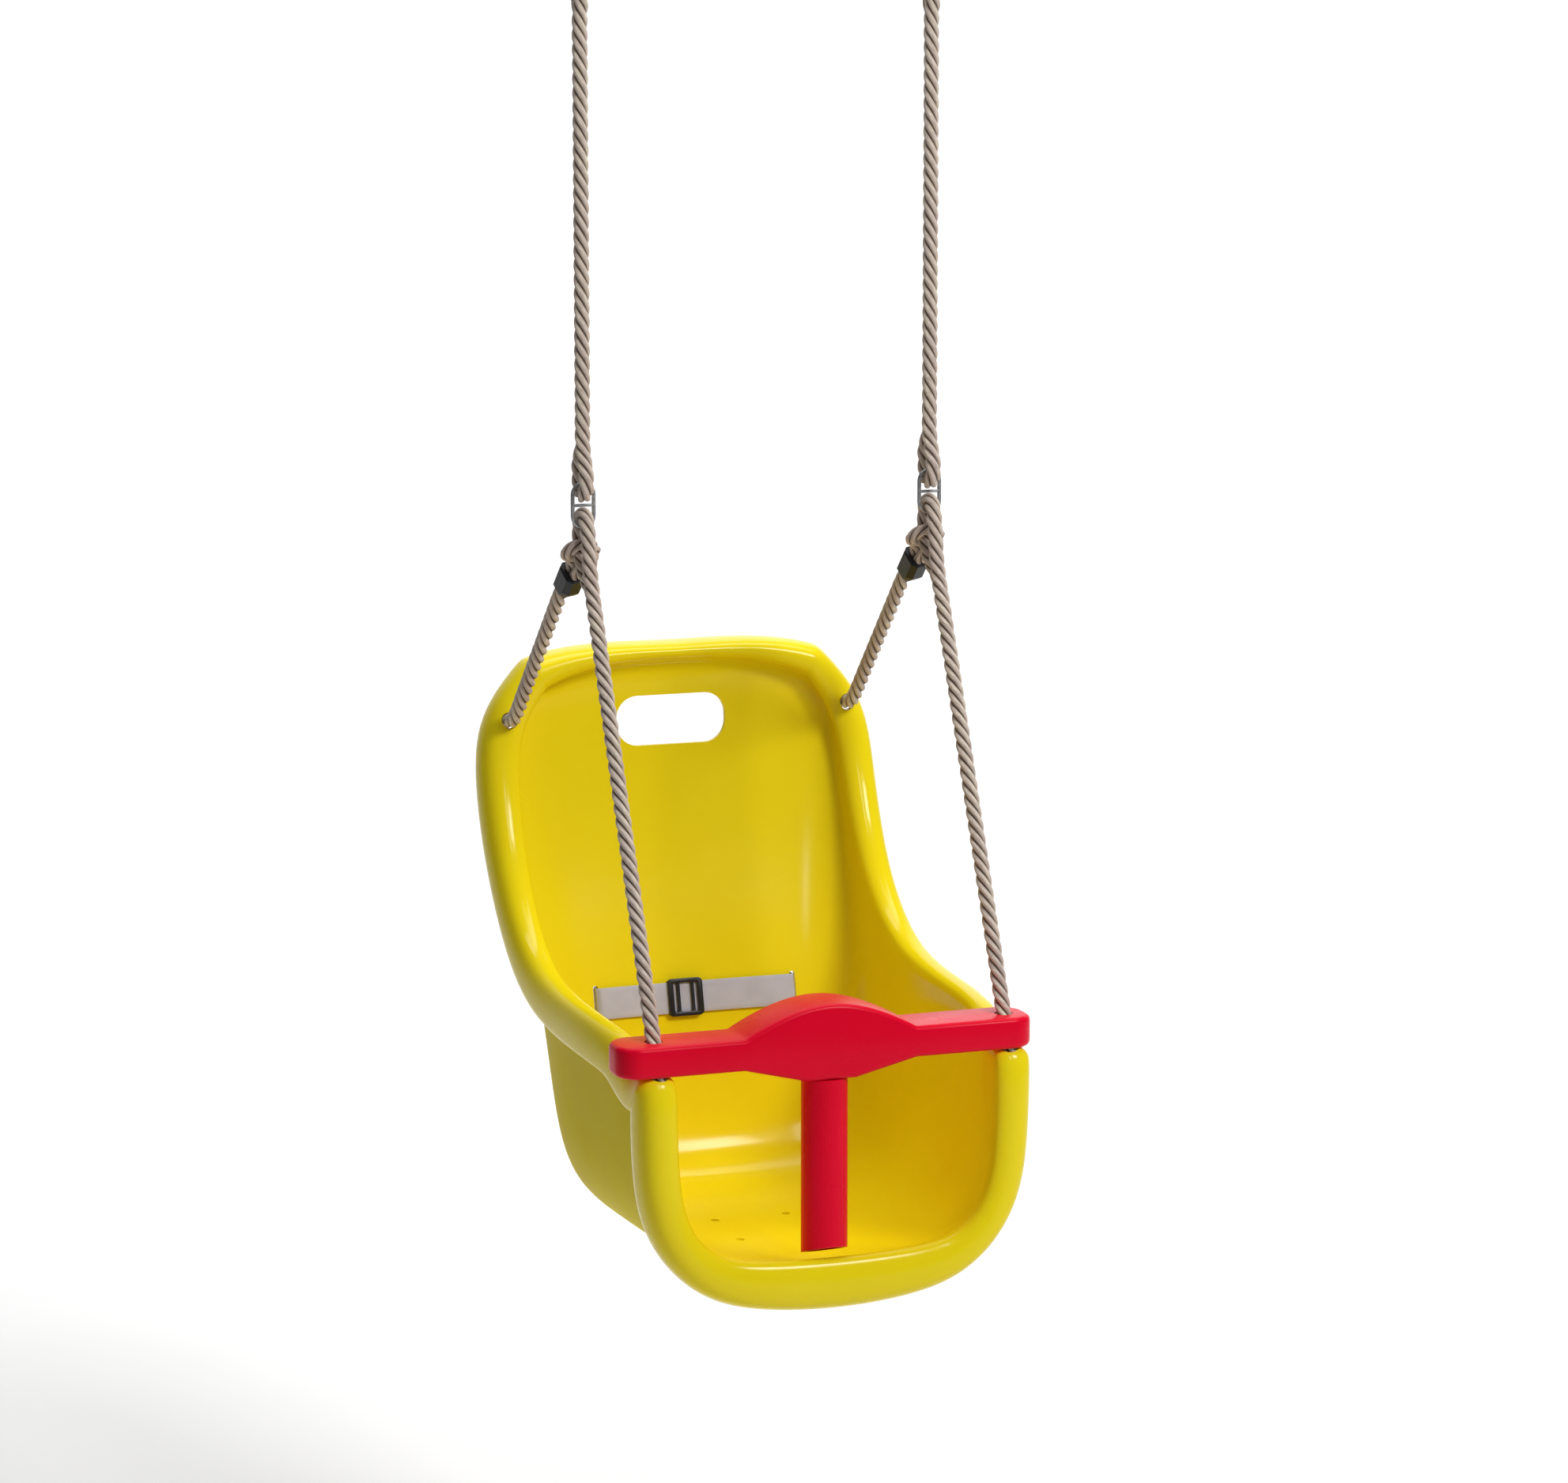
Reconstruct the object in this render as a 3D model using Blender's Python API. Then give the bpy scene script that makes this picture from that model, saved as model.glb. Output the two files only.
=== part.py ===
"""Toddler bucket swing: a yellow moulded bucket seat with a red T-bar, hung on two twisted ropes.

Units are metres. +X is the sitter's left as seen from the front, -Y is the front, +Z is up. The
origin is the hanging mount, half way between the two top rings.
"""
import math

import bmesh
import bpy
from mathutils import Vector
from mathutils.bvhtree import BVHTree

GAP = 0.0003

# heights below the mount
JUNCTION_Z = -0.465
SPREAD = 0.142
ROPE_R = 0.006
ROPE_BEND_R = 0.0081
FRONT_BEND_R = 0.0083

# hanging ring and thimble
RING_R = 0.021
RING_WIRE_R = 0.0040
THIMBLE_R = 0.0125

# figure-of-eight link
LINK_HALF_W = 0.0100
LINK_HALF_H = 0.0182
LINK_WIRE_R = 0.0016
LINK_BAR_RISE = LINK_HALF_H - LINK_WIRE_R

# seat: rope holes, measured from the junction
FRONT_X = 0.141
FRONT_Y = -0.161
LIP_HOLE_Y = -0.1725
REAR_X = 0.1455
REAR_Y = 0.197
REAR_DROP = 0.195
HOLE_R = 0.0068
LIP_HOLE_R = 0.0079

# T-bar
BAR_HALF = 0.1665
BAR_DEPTH = 0.046
BAR_TOP_DROP = 0.3841
BAR_H = 0.0240
BAR_X = -0.0063
BAR_Y = -0.159
BAR_CORNER = 0.018
BULGE_HALF = 0.069
BULGE_UP = 0.0222
BULGE_DOWN = 0.012
BULGE_POWER = 0.95
POST_R = 0.0178
POST_Y = -0.164
POST_WALL = 0.003
SPIGOT_R = 0.0140
SPIGOT_LEN = 0.018
WEB_DEPTH = 0.0200
FOOT_SLOPE = -0.345
FOOT_DROP = 0.5558

# seat shell
WALL = 0.004
SLOT_HALF_W = 0.047
SLOT_HALF_H = 0.0205
SLOT_DROP = 0.2055
SLOT_CORNER = 0.0180
STRAP_SLOT_X = 0.085
STRAP_SLOT_W = 0.0042
STRAP_W = 0.0245
STRAP_T = 0.0015
STRAP_Z = JUNCTION_Z - 0.426
NOTCH_IN = 0.095
NOTCH_OUT = 0.210
NOTCH_LENGTH = 0.110
NOTCH_RISE = 0.036
DRAIN_COUNT = 4
DRAIN_R = 0.0035
DRAIN_SPREAD = 0.060

for old in list(bpy.data.objects):
    bpy.data.objects.remove(old, do_unlink=True)


def material(name, colour, roughness, metallic=0.0):
    """Plain principled material."""
    mat = bpy.data.materials.new(name)
    mat.use_nodes = True
    shader = mat.node_tree.nodes["Principled BSDF"]
    shader.inputs["Base Color"].default_value = (*colour, 1.0)
    shader.inputs["Roughness"].default_value = roughness
    shader.inputs["Metallic"].default_value = metallic
    return mat


YELLOW = material("yellow_plastic", (0.80, 0.66, 0.02), 0.28)
RED = material("red_plastic", (0.62, 0.01, 0.03), 0.30)
ROPE = material("rope_fibre", (0.37, 0.31, 0.22), 0.85)
BLACK = material("black_plastic", (0.015, 0.015, 0.015), 0.45)
STRAP = material("strap_webbing", (0.50, 0.48, 0.56), 0.80)
STEEL = material("galvanised_steel", (0.45, 0.46, 0.47), 0.42, 0.9)


def finish(obj, mat, smooth=True):
    """Give the object its material and shading."""
    obj.data.materials.clear()
    obj.data.materials.append(mat)
    if obj.type == "MESH":
        for face in obj.data.polygons:
            face.use_smooth = smooth
    return obj


def mesh_object(name, verts, faces, mat):
    """Object from vertices and faces with its normals made to face out."""
    mesh = bpy.data.meshes.new(name)
    mesh.from_pydata([tuple(v) for v in verts], [], faces)
    bm = bmesh.new()
    bm.from_mesh(mesh)
    bmesh.ops.recalc_face_normals(bm, faces=bm.faces[:])
    bm.to_mesh(mesh)
    bm.free()
    obj = bpy.data.objects.new(name, mesh)
    bpy.context.collection.objects.link(obj)
    return finish(obj, mat)


def cut(obj, cutter, operation="DIFFERENCE"):
    """Add a Boolean that uses a hidden cutter."""
    cutter.hide_render = True
    cutter.display_type = "WIRE"
    mod = obj.modifiers.new(f"cut_{cutter.name}", "BOOLEAN")
    mod.operation = operation
    mod.solver = "EXACT"
    mod.object = cutter
    return mod


def cylinder(name, radius, depth, location, direction=(0, 0, 1), segments=32):
    """Solid cylinder along a direction."""
    bpy.ops.mesh.primitive_cylinder_add(radius=radius, depth=depth, vertices=segments)
    obj = bpy.context.object
    obj.name = name
    obj.rotation_mode = "QUATERNION"
    obj.rotation_quaternion = Vector(direction).to_track_quat("Z", "Y")
    obj.location = location
    return obj


# ---- seat shell -----------------------------------------------------------------------------
# Rows run from the top of the back, down the back, round the bend and out to the front lip.
# Each row: half width, y, drop of the lip's inner edge; y, drop of the shell's middle; squareness
# of the section; width of the rolled lip.
ROWS = [
    (0.1125, 0.1990, 0.1730, 0.2040, 0.154, 2.8, 0.0275),
    (0.1350, 0.1960, 0.206, 0.2150, 0.163, 4.0, 0.0345),
    (0.1390, 0.1860, 0.252, 0.2165, 0.205, 5.0, 0.032),
    (0.1400, 0.1650, 0.300, 0.2060, 0.262, 5.0, 0.030),
    (0.1410, 0.1360, 0.340, 0.1900, 0.320, 5.0, 0.028),
    (0.1420, 0.1000, 0.369, 0.1710, 0.375, 5.0, 0.027),
    (0.1425, 0.0600, 0.385, 0.1540, 0.430, 5.0, 0.026),
    (0.1425, 0.0150, 0.391, 0.1440, 0.490, 5.0, 0.025),
    (0.1420, -0.0250, 0.393, 0.1340, 0.547, 5.0, 0.025),
    (0.1410, -0.0550, 0.394, 0.1030, 0.577, 5.0, 0.025),
    (0.1390, -0.0850, 0.396, 0.0300, 0.580, 4.6, 0.025),
    (0.1360, -0.1100, 0.398, -0.0500, 0.580, 4.4, 0.026),
    (0.1320, -0.1360, 0.4140, -0.1200, 0.578, 4.4, 0.028),
    (0.1285, -0.1610, 0.4165, -0.1540, 0.568, 4.5, 0.031),
    (0.1270, -0.1770, 0.4095, -0.1770, 0.558, 4.6, 0.032),
]
ANGLES = [math.radians(a) for a in (0, 16, 32, 48, 63, 76, 87.5, 90)]
COLUMN_STEPS = len(ANGLES) - 1
TOP_LIP = 0.014
FRONT_LIP = 0.046
LIP_SKIRT = 0.024
LIP_PROFILE = [
    (0.10, 0.0065),
    (0.42, 0.0100),
    (0.80, 0.0075),
    (1.00, -0.0040),
    (1.00, -LIP_SKIRT),
    (None, -LIP_SKIRT),
    (None, 0.0005),
    (0.55, 0.0045),
]


def section(row, sign_step):
    """One point of a row; sign_step runs from -COLUMN_STEPS to COLUMN_STEPS."""
    half, rim_y, rim_drop, mid_y, mid_drop, power, _ = row
    angle = ANGLES[abs(sign_step)]
    across = math.sin(angle) ** (2 / power)
    rise = 1 - max(0.0, math.cos(angle)) ** (2 / power)
    if row is ROWS[0]:
        across = math.sin(angle)
        rise = across**3
    if abs(sign_step) == COLUMN_STEPS:
        across, rise = 1.0, 1.0
    x = math.copysign(half * across, sign_step) if sign_step else 0.0
    y = mid_y + (rim_y - mid_y) * rise
    drop = mid_drop + (rim_drop - mid_drop) * rise
    return Vector((x, y, JUNCTION_Z - drop))


def shell_cage():
    """Closed control cage: inner skin, rolled lip, outer skin."""
    rows = len(ROWS)
    cols = 2 * COLUMN_STEPS + 1
    inner = [[section(row, c - COLUMN_STEPS) for c in range(cols)] for row in ROWS]

    def grid(r, c):
        return inner[max(0, min(rows - 1, r))][max(0, min(cols - 1, c))]

    def outward(r, c):
        along = grid(r + 1, c) - grid(r - 1, c)
        over = grid(r, c + 1) - grid(r, c - 1)
        return along.cross(over).normalized()

    verts = [p.copy() for line in inner for p in line]
    faces = []
    sign = 1.0
    middle = outward(rows // 2, COLUMN_STEPS)
    if middle.y < 0:
        sign = -1.0
    outer_start = len(verts)
    for r in range(rows):
        for c in range(cols):
            verts.append(grid(r, c) + outward(r, c) * sign * WALL)
    for r in range(rows - 1):
        for c in range(cols - 1):
            a = r * cols + c
            quad = [a, a + 1, a + cols + 1, a + cols]
            faces.append(quad)
            faces.append([outer_start + i for i in reversed(quad)])

    loop = [(0, c) for c in range(cols)]
    loop += [(r, cols - 1) for r in range(1, rows)]
    loop += [(rows - 1, c) for c in range(cols - 2, -1, -1)]
    loop += [(r, 0) for r in range(rows - 2, 0, -1)]
    count = len(loop)
    rings = []
    for k in range(count):
        r, c = loop[k]
        point = grid(r, c)
        tangent = (grid(*loop[(k + 1) % count]) - grid(*loop[k - 1])).normalized()
        share = abs(point.x) / ROWS[r][0]
        if r == 0:
            width = TOP_LIP + (ROWS[0][6] - TOP_LIP) * share**2
            facing = Vector((0, -1, 0))
        elif r == rows - 1:
            width = FRONT_LIP + (ROWS[-1][6] - FRONT_LIP) * min(1.0, share * 1.2) ** 3
            facing = Vector((0, -1, 0))
            if c in (0, cols - 1):
                facing = Vector((0, -0.75, 0.66))
        else:
            width = ROWS[r][6]
            facing = Vector((0, tangent.z, -tangent.y)) * (1 if c else -1)
        facing = (facing - tangent * facing.dot(tangent)).normalized()
        out = tangent.cross(facing).normalized()
        centre_side = Vector((point.x, 0, point.z - (JUNCTION_Z - 0.38)))
        if out.dot(centre_side) < 0:
            out = -out
        ring = []
        for share_out, depth in LIP_PROFILE:
            reach = width - WALL if share_out is None else width * share_out
            ring.append(point + out * reach + facing * depth)
        ring.append(point + out * (WALL * 1.4) + facing * 0.0022)
        rings.append(ring)
    ring_start = len(verts)
    steps = len(rings[0])
    for ring in rings:
        verts.extend(ring)
    for k in range(count):
        n = (k + 1) % count
        here = [loop[k][0] * cols + loop[k][1]]
        here += [ring_start + k * steps + i for i in range(steps)]
        here.append(outer_start + loop[k][0] * cols + loop[k][1])
        there = [loop[n][0] * cols + loop[n][1]]
        there += [ring_start + n * steps + i for i in range(steps)]
        there.append(outer_start + loop[n][0] * cols + loop[n][1])
        for i in range(len(here) - 1):
            faces.append([here[i], there[i], there[i + 1], here[i + 1]])
    return verts, faces


seat = mesh_object("seat_shell", *shell_cage(), YELLOW)
smooth_mod = seat.modifiers.new("moulded", "SUBSURF")
smooth_mod.levels = 1
smooth_mod.render_levels = 1


def surface_tree(obj):
    """Ray-casting tree of the object with its modifiers applied."""
    graph = bpy.context.evaluated_depsgraph_get()
    graph.update()
    return BVHTree.FromObject(obj, graph)


def rounded_outline(half_a, half_b, corner, steps):
    """Rounded rectangle as points in its own plane, counter-clockwise."""
    points = []
    for quarter in range(4):
        turn = quarter * math.pi / 2
        sign_a = 1 if quarter in (0, 3) else -1
        sign_b = 1 if quarter in (0, 1) else -1
        for i in range(steps + 1):
            angle = turn + i / steps * math.pi / 2
            a = sign_a * (half_a - corner) + corner * math.cos(angle)
            b = sign_b * (half_b - corner) + corner * math.sin(angle)
            points.append((a, b))
    return points


def add_prism(bm, outline, origin, axis_a, axis_b, depth):
    """Add a closed prism to a bmesh, centred on origin and as deep as depth."""
    origin, axis_a, axis_b = Vector(origin), Vector(axis_a), Vector(axis_b)
    axis_c = axis_a.cross(axis_b)
    ends = []
    for side in (-0.5, 0.5):
        flat = [origin + axis_a * a + axis_b * b + axis_c * depth * side for a, b in outline]
        ends.append([bm.verts.new(p) for p in flat])
    near, far = ends
    bm.faces.new(list(reversed(near)))
    bm.faces.new(far)
    for i in range(len(outline)):
        j = (i + 1) % len(outline)
        bm.faces.new((near[i], near[j], far[j], far[i]))


def ring_outline(radius, steps):
    """Circle as points."""
    turns = [2 * math.pi * i / steps for i in range(steps)]
    return [(radius * math.cos(t), radius * math.sin(t)) for t in turns]


X_AXIS, Y_AXIS, Z_AXIS = (1, 0, 0), (0, 1, 0), (0, 0, 1)
cut_bm = bmesh.new()
slot_shape = rounded_outline(SLOT_HALF_W, SLOT_HALF_H, SLOT_CORNER, 6)
add_prism(cut_bm, slot_shape, (0, 0.22, JUNCTION_Z - SLOT_DROP), X_AXIS, Z_AXIS, 0.08)
strap_slot = rounded_outline(STRAP_SLOT_W / 2, STRAP_W / 2 + 0.0015, 0.0012, 2)
for side in (-1, 1):
    add_prism(cut_bm, strap_slot, (side * STRAP_SLOT_X, 0.15, STRAP_Z), X_AXIS, Z_AXIS, 0.06)
    rear_at = (side * REAR_X, REAR_Y, JUNCTION_Z - REAR_DROP)
    add_prism(cut_bm, ring_outline(HOLE_R, 20), rear_at, X_AXIS, Z_AXIS, 0.06)
    front_at = (side * FRONT_X, LIP_HOLE_Y + 0.0008, JUNCTION_Z - BAR_TOP_DROP - BAR_H - 0.008)
    add_prism(cut_bm, ring_outline(LIP_HOLE_R, 20), front_at, X_AXIS, Y_AXIS, 0.030)
for index in range(DRAIN_COUNT):
    drain_x = (index % 2 - 0.5) * DRAIN_SPREAD
    drain_y = 0.02 - (index // 2) * DRAIN_SPREAD
    drain_at = (drain_x, drain_y, JUNCTION_Z - 0.580)
    add_prism(cut_bm, ring_outline(DRAIN_R, 16), drain_at, X_AXIS, Y_AXIS, 0.03)
bmesh.ops.recalc_face_normals(cut_bm, faces=cut_bm.faces[:])
cut_mesh = bpy.data.meshes.new("seat_openings")
cut_bm.to_mesh(cut_mesh)
cut_bm.free()
seat_cutter = bpy.data.objects.new("seat_openings", cut_mesh)
bpy.context.collection.objects.link(seat_cutter)
cut(seat, seat_cutter)
notch_bm = bmesh.new()
for side in (-1, 1):
    back_y = BAR_Y + BAR_DEPTH / 2 + 2 * GAP
    notch_z = JUNCTION_Z - BAR_TOP_DROP - BAR_H - GAP
    lean = NOTCH_RISE * FRONT_Y / (LINK_BAR_RISE - BAR_TOP_DROP)
    corners = []
    for x in (side * NOTCH_IN, side * NOTCH_OUT):
        corners.append(notch_bm.verts.new((x, back_y - NOTCH_LENGTH, notch_z)))
        corners.append(notch_bm.verts.new((x, back_y, notch_z)))
        corners.append(notch_bm.verts.new((x, back_y + lean, notch_z + NOTCH_RISE)))
        corners.append(notch_bm.verts.new((x, back_y - NOTCH_LENGTH, notch_z + NOTCH_RISE)))
    notch_bm.faces.new(corners[:4])
    notch_bm.faces.new(list(reversed(corners[4:])))
    for i in range(4):
        j = (i + 1) % 4
        notch_bm.faces.new((corners[j], corners[i], corners[4 + i], corners[4 + j]))
bmesh.ops.recalc_face_normals(notch_bm, faces=notch_bm.faces[:])
notch_mesh = bpy.data.meshes.new("bar_notches")
notch_bm.to_mesh(notch_mesh)
notch_bm.free()
notch_cutter = bpy.data.objects.new("bar_notches", notch_mesh)
bpy.context.collection.objects.link(notch_cutter)
cut(seat, notch_cutter)


# ---- T-bar ----------------------------------------------------------------------------------
SIDES = ((-1, "left"), (1, "right"))
bar_top = JUNCTION_Z - BAR_TOP_DROP
bar_bottom = bar_top - BAR_H


def bar_outline():
    """Front outline of the crossbar: straight arms, domed middle, hips down to the post."""
    points = []
    steps = 14
    for i in range(steps + 1):
        x = BULGE_HALF * (1 - 2 * i / steps)
        lift = max(0.0, math.cos(math.pi / 2 * x / BULGE_HALF)) ** BULGE_POWER
        points.append((x, bar_top + BULGE_UP * lift))
    points.append((-BAR_HALF, bar_top))
    points.append((-BAR_HALF, bar_bottom))
    points.append((-BULGE_HALF, bar_bottom))
    points.append((-POST_R - 0.002, bar_bottom - BULGE_DOWN))
    points.append((POST_R + 0.002, bar_bottom - BULGE_DOWN))
    points.append((BULGE_HALF, bar_bottom))
    points.append((BAR_HALF, bar_bottom))
    points.append((BAR_HALF, bar_top))
    return points


def make_crossbar():
    """Crossbar with rounded ends and a spigot for the post."""
    bm = bmesh.new()
    add_prism(bm, bar_outline(), (BAR_X, BAR_Y, 0), X_AXIS, Z_AXIS, BAR_DEPTH)
    bmesh.ops.recalc_face_normals(bm, faces=bm.faces[:])
    corners = []
    for edge in bm.edges:
        one, two = edge.verts
        upright = abs(one.co.z - two.co.z) > 0.01 and abs(one.co.y - two.co.y) < 1e-6
        if upright and abs(abs(one.co.x - BAR_X) - BAR_HALF) < 1e-6:
            corners.append(edge)
    bmesh.ops.bevel(
        bm, geom=corners, offset=BAR_CORNER, segments=5, affect="EDGES", profile=0.5
    )
    mesh = bpy.data.meshes.new("crossbar")
    bm.to_mesh(mesh)
    bm.free()
    obj = bpy.data.objects.new("crossbar", mesh)
    bpy.context.collection.objects.link(obj)
    bevel = obj.modifiers.new("edges", "BEVEL")
    bevel.width = 0.0028
    bevel.segments = 3
    bevel.limit_method = "ANGLE"
    bevel.angle_limit = math.radians(35)
    return finish(obj, RED)


crossbar = make_crossbar()
rope_dir = Vector((0, FRONT_Y, LINK_BAR_RISE - BAR_TOP_DROP)).normalized()
bar_cut = bmesh.new()
for side, word in SIDES:
    hole_at = Vector((side * FRONT_X, FRONT_Y, bar_top)) + rope_dir * (BAR_H / 2)
    across_axis = Vector(rope_dir).cross(Vector(X_AXIS))
    add_prism(bar_cut, ring_outline(HOLE_R, 20), hole_at, X_AXIS, across_axis, 0.06)
bmesh.ops.recalc_face_normals(bar_cut, faces=bar_cut.faces[:])
bar_cut_mesh = bpy.data.meshes.new("bar_rope_holes")
bar_cut.to_mesh(bar_cut_mesh)
bar_cut.free()
bar_cutter = bpy.data.objects.new("bar_rope_holes", bar_cut_mesh)
bpy.context.collection.objects.link(bar_cutter)
cut(crossbar, bar_cutter)
spigot = cylinder(
    "spigot_form",
    SPIGOT_R - GAP,
    SPIGOT_LEN + 0.004,
    (BAR_X, POST_Y, bar_bottom - BULGE_DOWN - SPIGOT_LEN / 2 + 0.002),
)
cut(crossbar, spigot, "UNION")
pilot = cylinder(
    "pilot_hole_form",
    0.0018,
    0.014,
    (BAR_X, POST_Y, bar_bottom - BULGE_DOWN - SPIGOT_LEN + 0.006),
    segments=16,
)
cut(crossbar, pilot)


def lathe(name, profile, location, mat, steps=40):
    """Closed body of revolution about Z from (radius, height) points that start and end on axis."""
    verts = []
    rings = []
    for radius, height in profile:
        if radius == 0:
            rings.append([len(verts)])
            verts.append(Vector((0, 0, height)))
            continue
        ring = []
        for i in range(steps):
            angle = 2 * math.pi * i / steps
            ring.append(len(verts))
            verts.append(Vector((radius * math.cos(angle), radius * math.sin(angle), height)))
        rings.append(ring)
    faces = []
    pairs = list(zip(rings, rings[1:]))
    if len(rings[0]) > 1:
        pairs.append((rings[-1], rings[0]))
    for one, two in pairs:
        for i in range(steps):
            j = (i + 1) % steps
            if len(one) == 1:
                faces.append((one[0], two[i], two[j]))
            elif len(two) == 1:
                faces.append((one[i], two[0], one[j]))
            else:
                faces.append((one[i], two[i], two[j], one[j]))
    obj = mesh_object(name, verts, faces, mat)
    obj.location = location
    return obj


post_top = bar_bottom - BULGE_DOWN - GAP
foot_z = JUNCTION_Z - FOOT_DROP
post_len = post_top - foot_z
inner_r = POST_R - POST_WALL
post_profile = [
    (inner_r, 0.0),
    (POST_R - 0.0006, 0.0),
    (POST_R, -0.0006),
    (POST_R, -post_len),
    (inner_r, -post_len),
    (inner_r, -WEB_DEPTH - 0.003),
    (0.0022, -WEB_DEPTH - 0.003),
    (0.0022, -WEB_DEPTH),
    (inner_r, -WEB_DEPTH),
]
post = lathe("crotch_post", post_profile, (BAR_X, POST_Y, post_top), RED)
for vert in post.data.vertices:
    if vert.co.z < -post_len + 1e-6:
        vert.co.z += FOOT_SLOPE * vert.co.y

screw_profile = [
    (0, -0.0026),
    (0.0030, -0.0022),
    (0.0034, -0.0012),
    (0.0034, 0.0),
    (0.0015, 0.0),
    (0.0015, 0.0120),
    (0, 0.0135),
]
screw_z = post_top - WEB_DEPTH - 0.003 - GAP
post_screw = lathe("post_screw", screw_profile, (BAR_X, POST_Y, screw_z), STEEL, 20)

# ---- strap and buckle -------------------------------------------------------------------------
BUCKLE_X = -0.0095
BUCKLE_LEN = 0.0290
BUCKLE_BACK = 0.0012
BUCKLE_FRONT = 0.0028
BUCKLE_RIM = 0.0022
BUCKLE_OFF = 0.0009
WINDOW_X = 0.0083
WINDOW_HALF_W = 0.0048
SLIT_HALF_W = 0.0011
strap_skin = surface_tree(seat)


def strap_rails():
    """Closed centre line of the strap as (x, y at lower edge, y at upper edge)."""
    half_w = STRAP_W / 2
    stand_off = BUCKLE_OFF + GAP + BUCKLE_BACK + STRAP_T / 2
    reach = STRAP_SLOT_X
    steps = 12
    runs = []
    for behind in (False, True):
        run = []
        for i in range(steps + 1):
            x = (reach - 0.0035) * (2 * i / steps - 1)
            ys = []
            for dz in (-half_w, half_w):
                start = Vector((x, 0.5 if behind else -0.02, STRAP_Z + dz))
                hit = strap_skin.ray_cast(start, Vector((0, -1 if behind else 1, 0)))[0]
                off = GAP * 2 + STRAP_T / 2
                ys.append(hit.y + off if behind else hit.y - stand_off)
            run.append((x, ys[0], ys[1]))
        runs.append(run)
    front, back = runs
    back.reverse()
    line = []
    line.extend(front)
    line.append((reach - 0.0008, front[-1][1] + 0.0006, front[-1][2] + 0.0006))
    line.append((reach, front[-1][1] + 0.0022, front[-1][2] + 0.0022))
    line.append((reach, back[0][1] - 0.0018, back[0][2] - 0.0018))
    line.append((reach - 0.0010, back[0][1] - 0.0004, back[0][2] - 0.0004))
    line.extend(back)
    line.append((-reach + 0.0010, back[-1][1] - 0.0004, back[-1][2] - 0.0004))
    line.append((-reach, back[-1][1] - 0.0018, back[-1][2] - 0.0018))
    line.append((-reach, front[0][1] + 0.0022, front[0][2] + 0.0022))
    line.append((-reach + 0.0008, front[0][1] + 0.0006, front[0][2] + 0.0006))
    return line


def make_strap():
    """Flat webbing loop through both slots."""
    line = strap_rails()
    count = len(line)
    verts = []
    for i in range(count):
        x, low, high = line[i]
        before, after = line[i - 1], line[(i + 1) % count]
        run = Vector((after[0] - before[0], after[1] - before[1], 0)).normalized()
        side = Vector((-run.y, run.x, 0)) * (STRAP_T / 2)
        for edge_z, y in ((-STRAP_W / 2, low), (STRAP_W / 2, high)):
            for sign in (-1, 1):
                verts.append(Vector((x, y, STRAP_Z + edge_z)) + side * sign)
    faces = []
    order = (0, 1, 3, 2)
    for i in range(count):
        j = (i + 1) % count
        for k in range(4):
            a, b = order[k], order[(k + 1) % 4]
            faces.append((4 * i + a, 4 * i + b, 4 * j + b, 4 * j + a))
    return mesh_object("lap_strap", verts, faces, STRAP)


lap_strap = make_strap()


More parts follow.
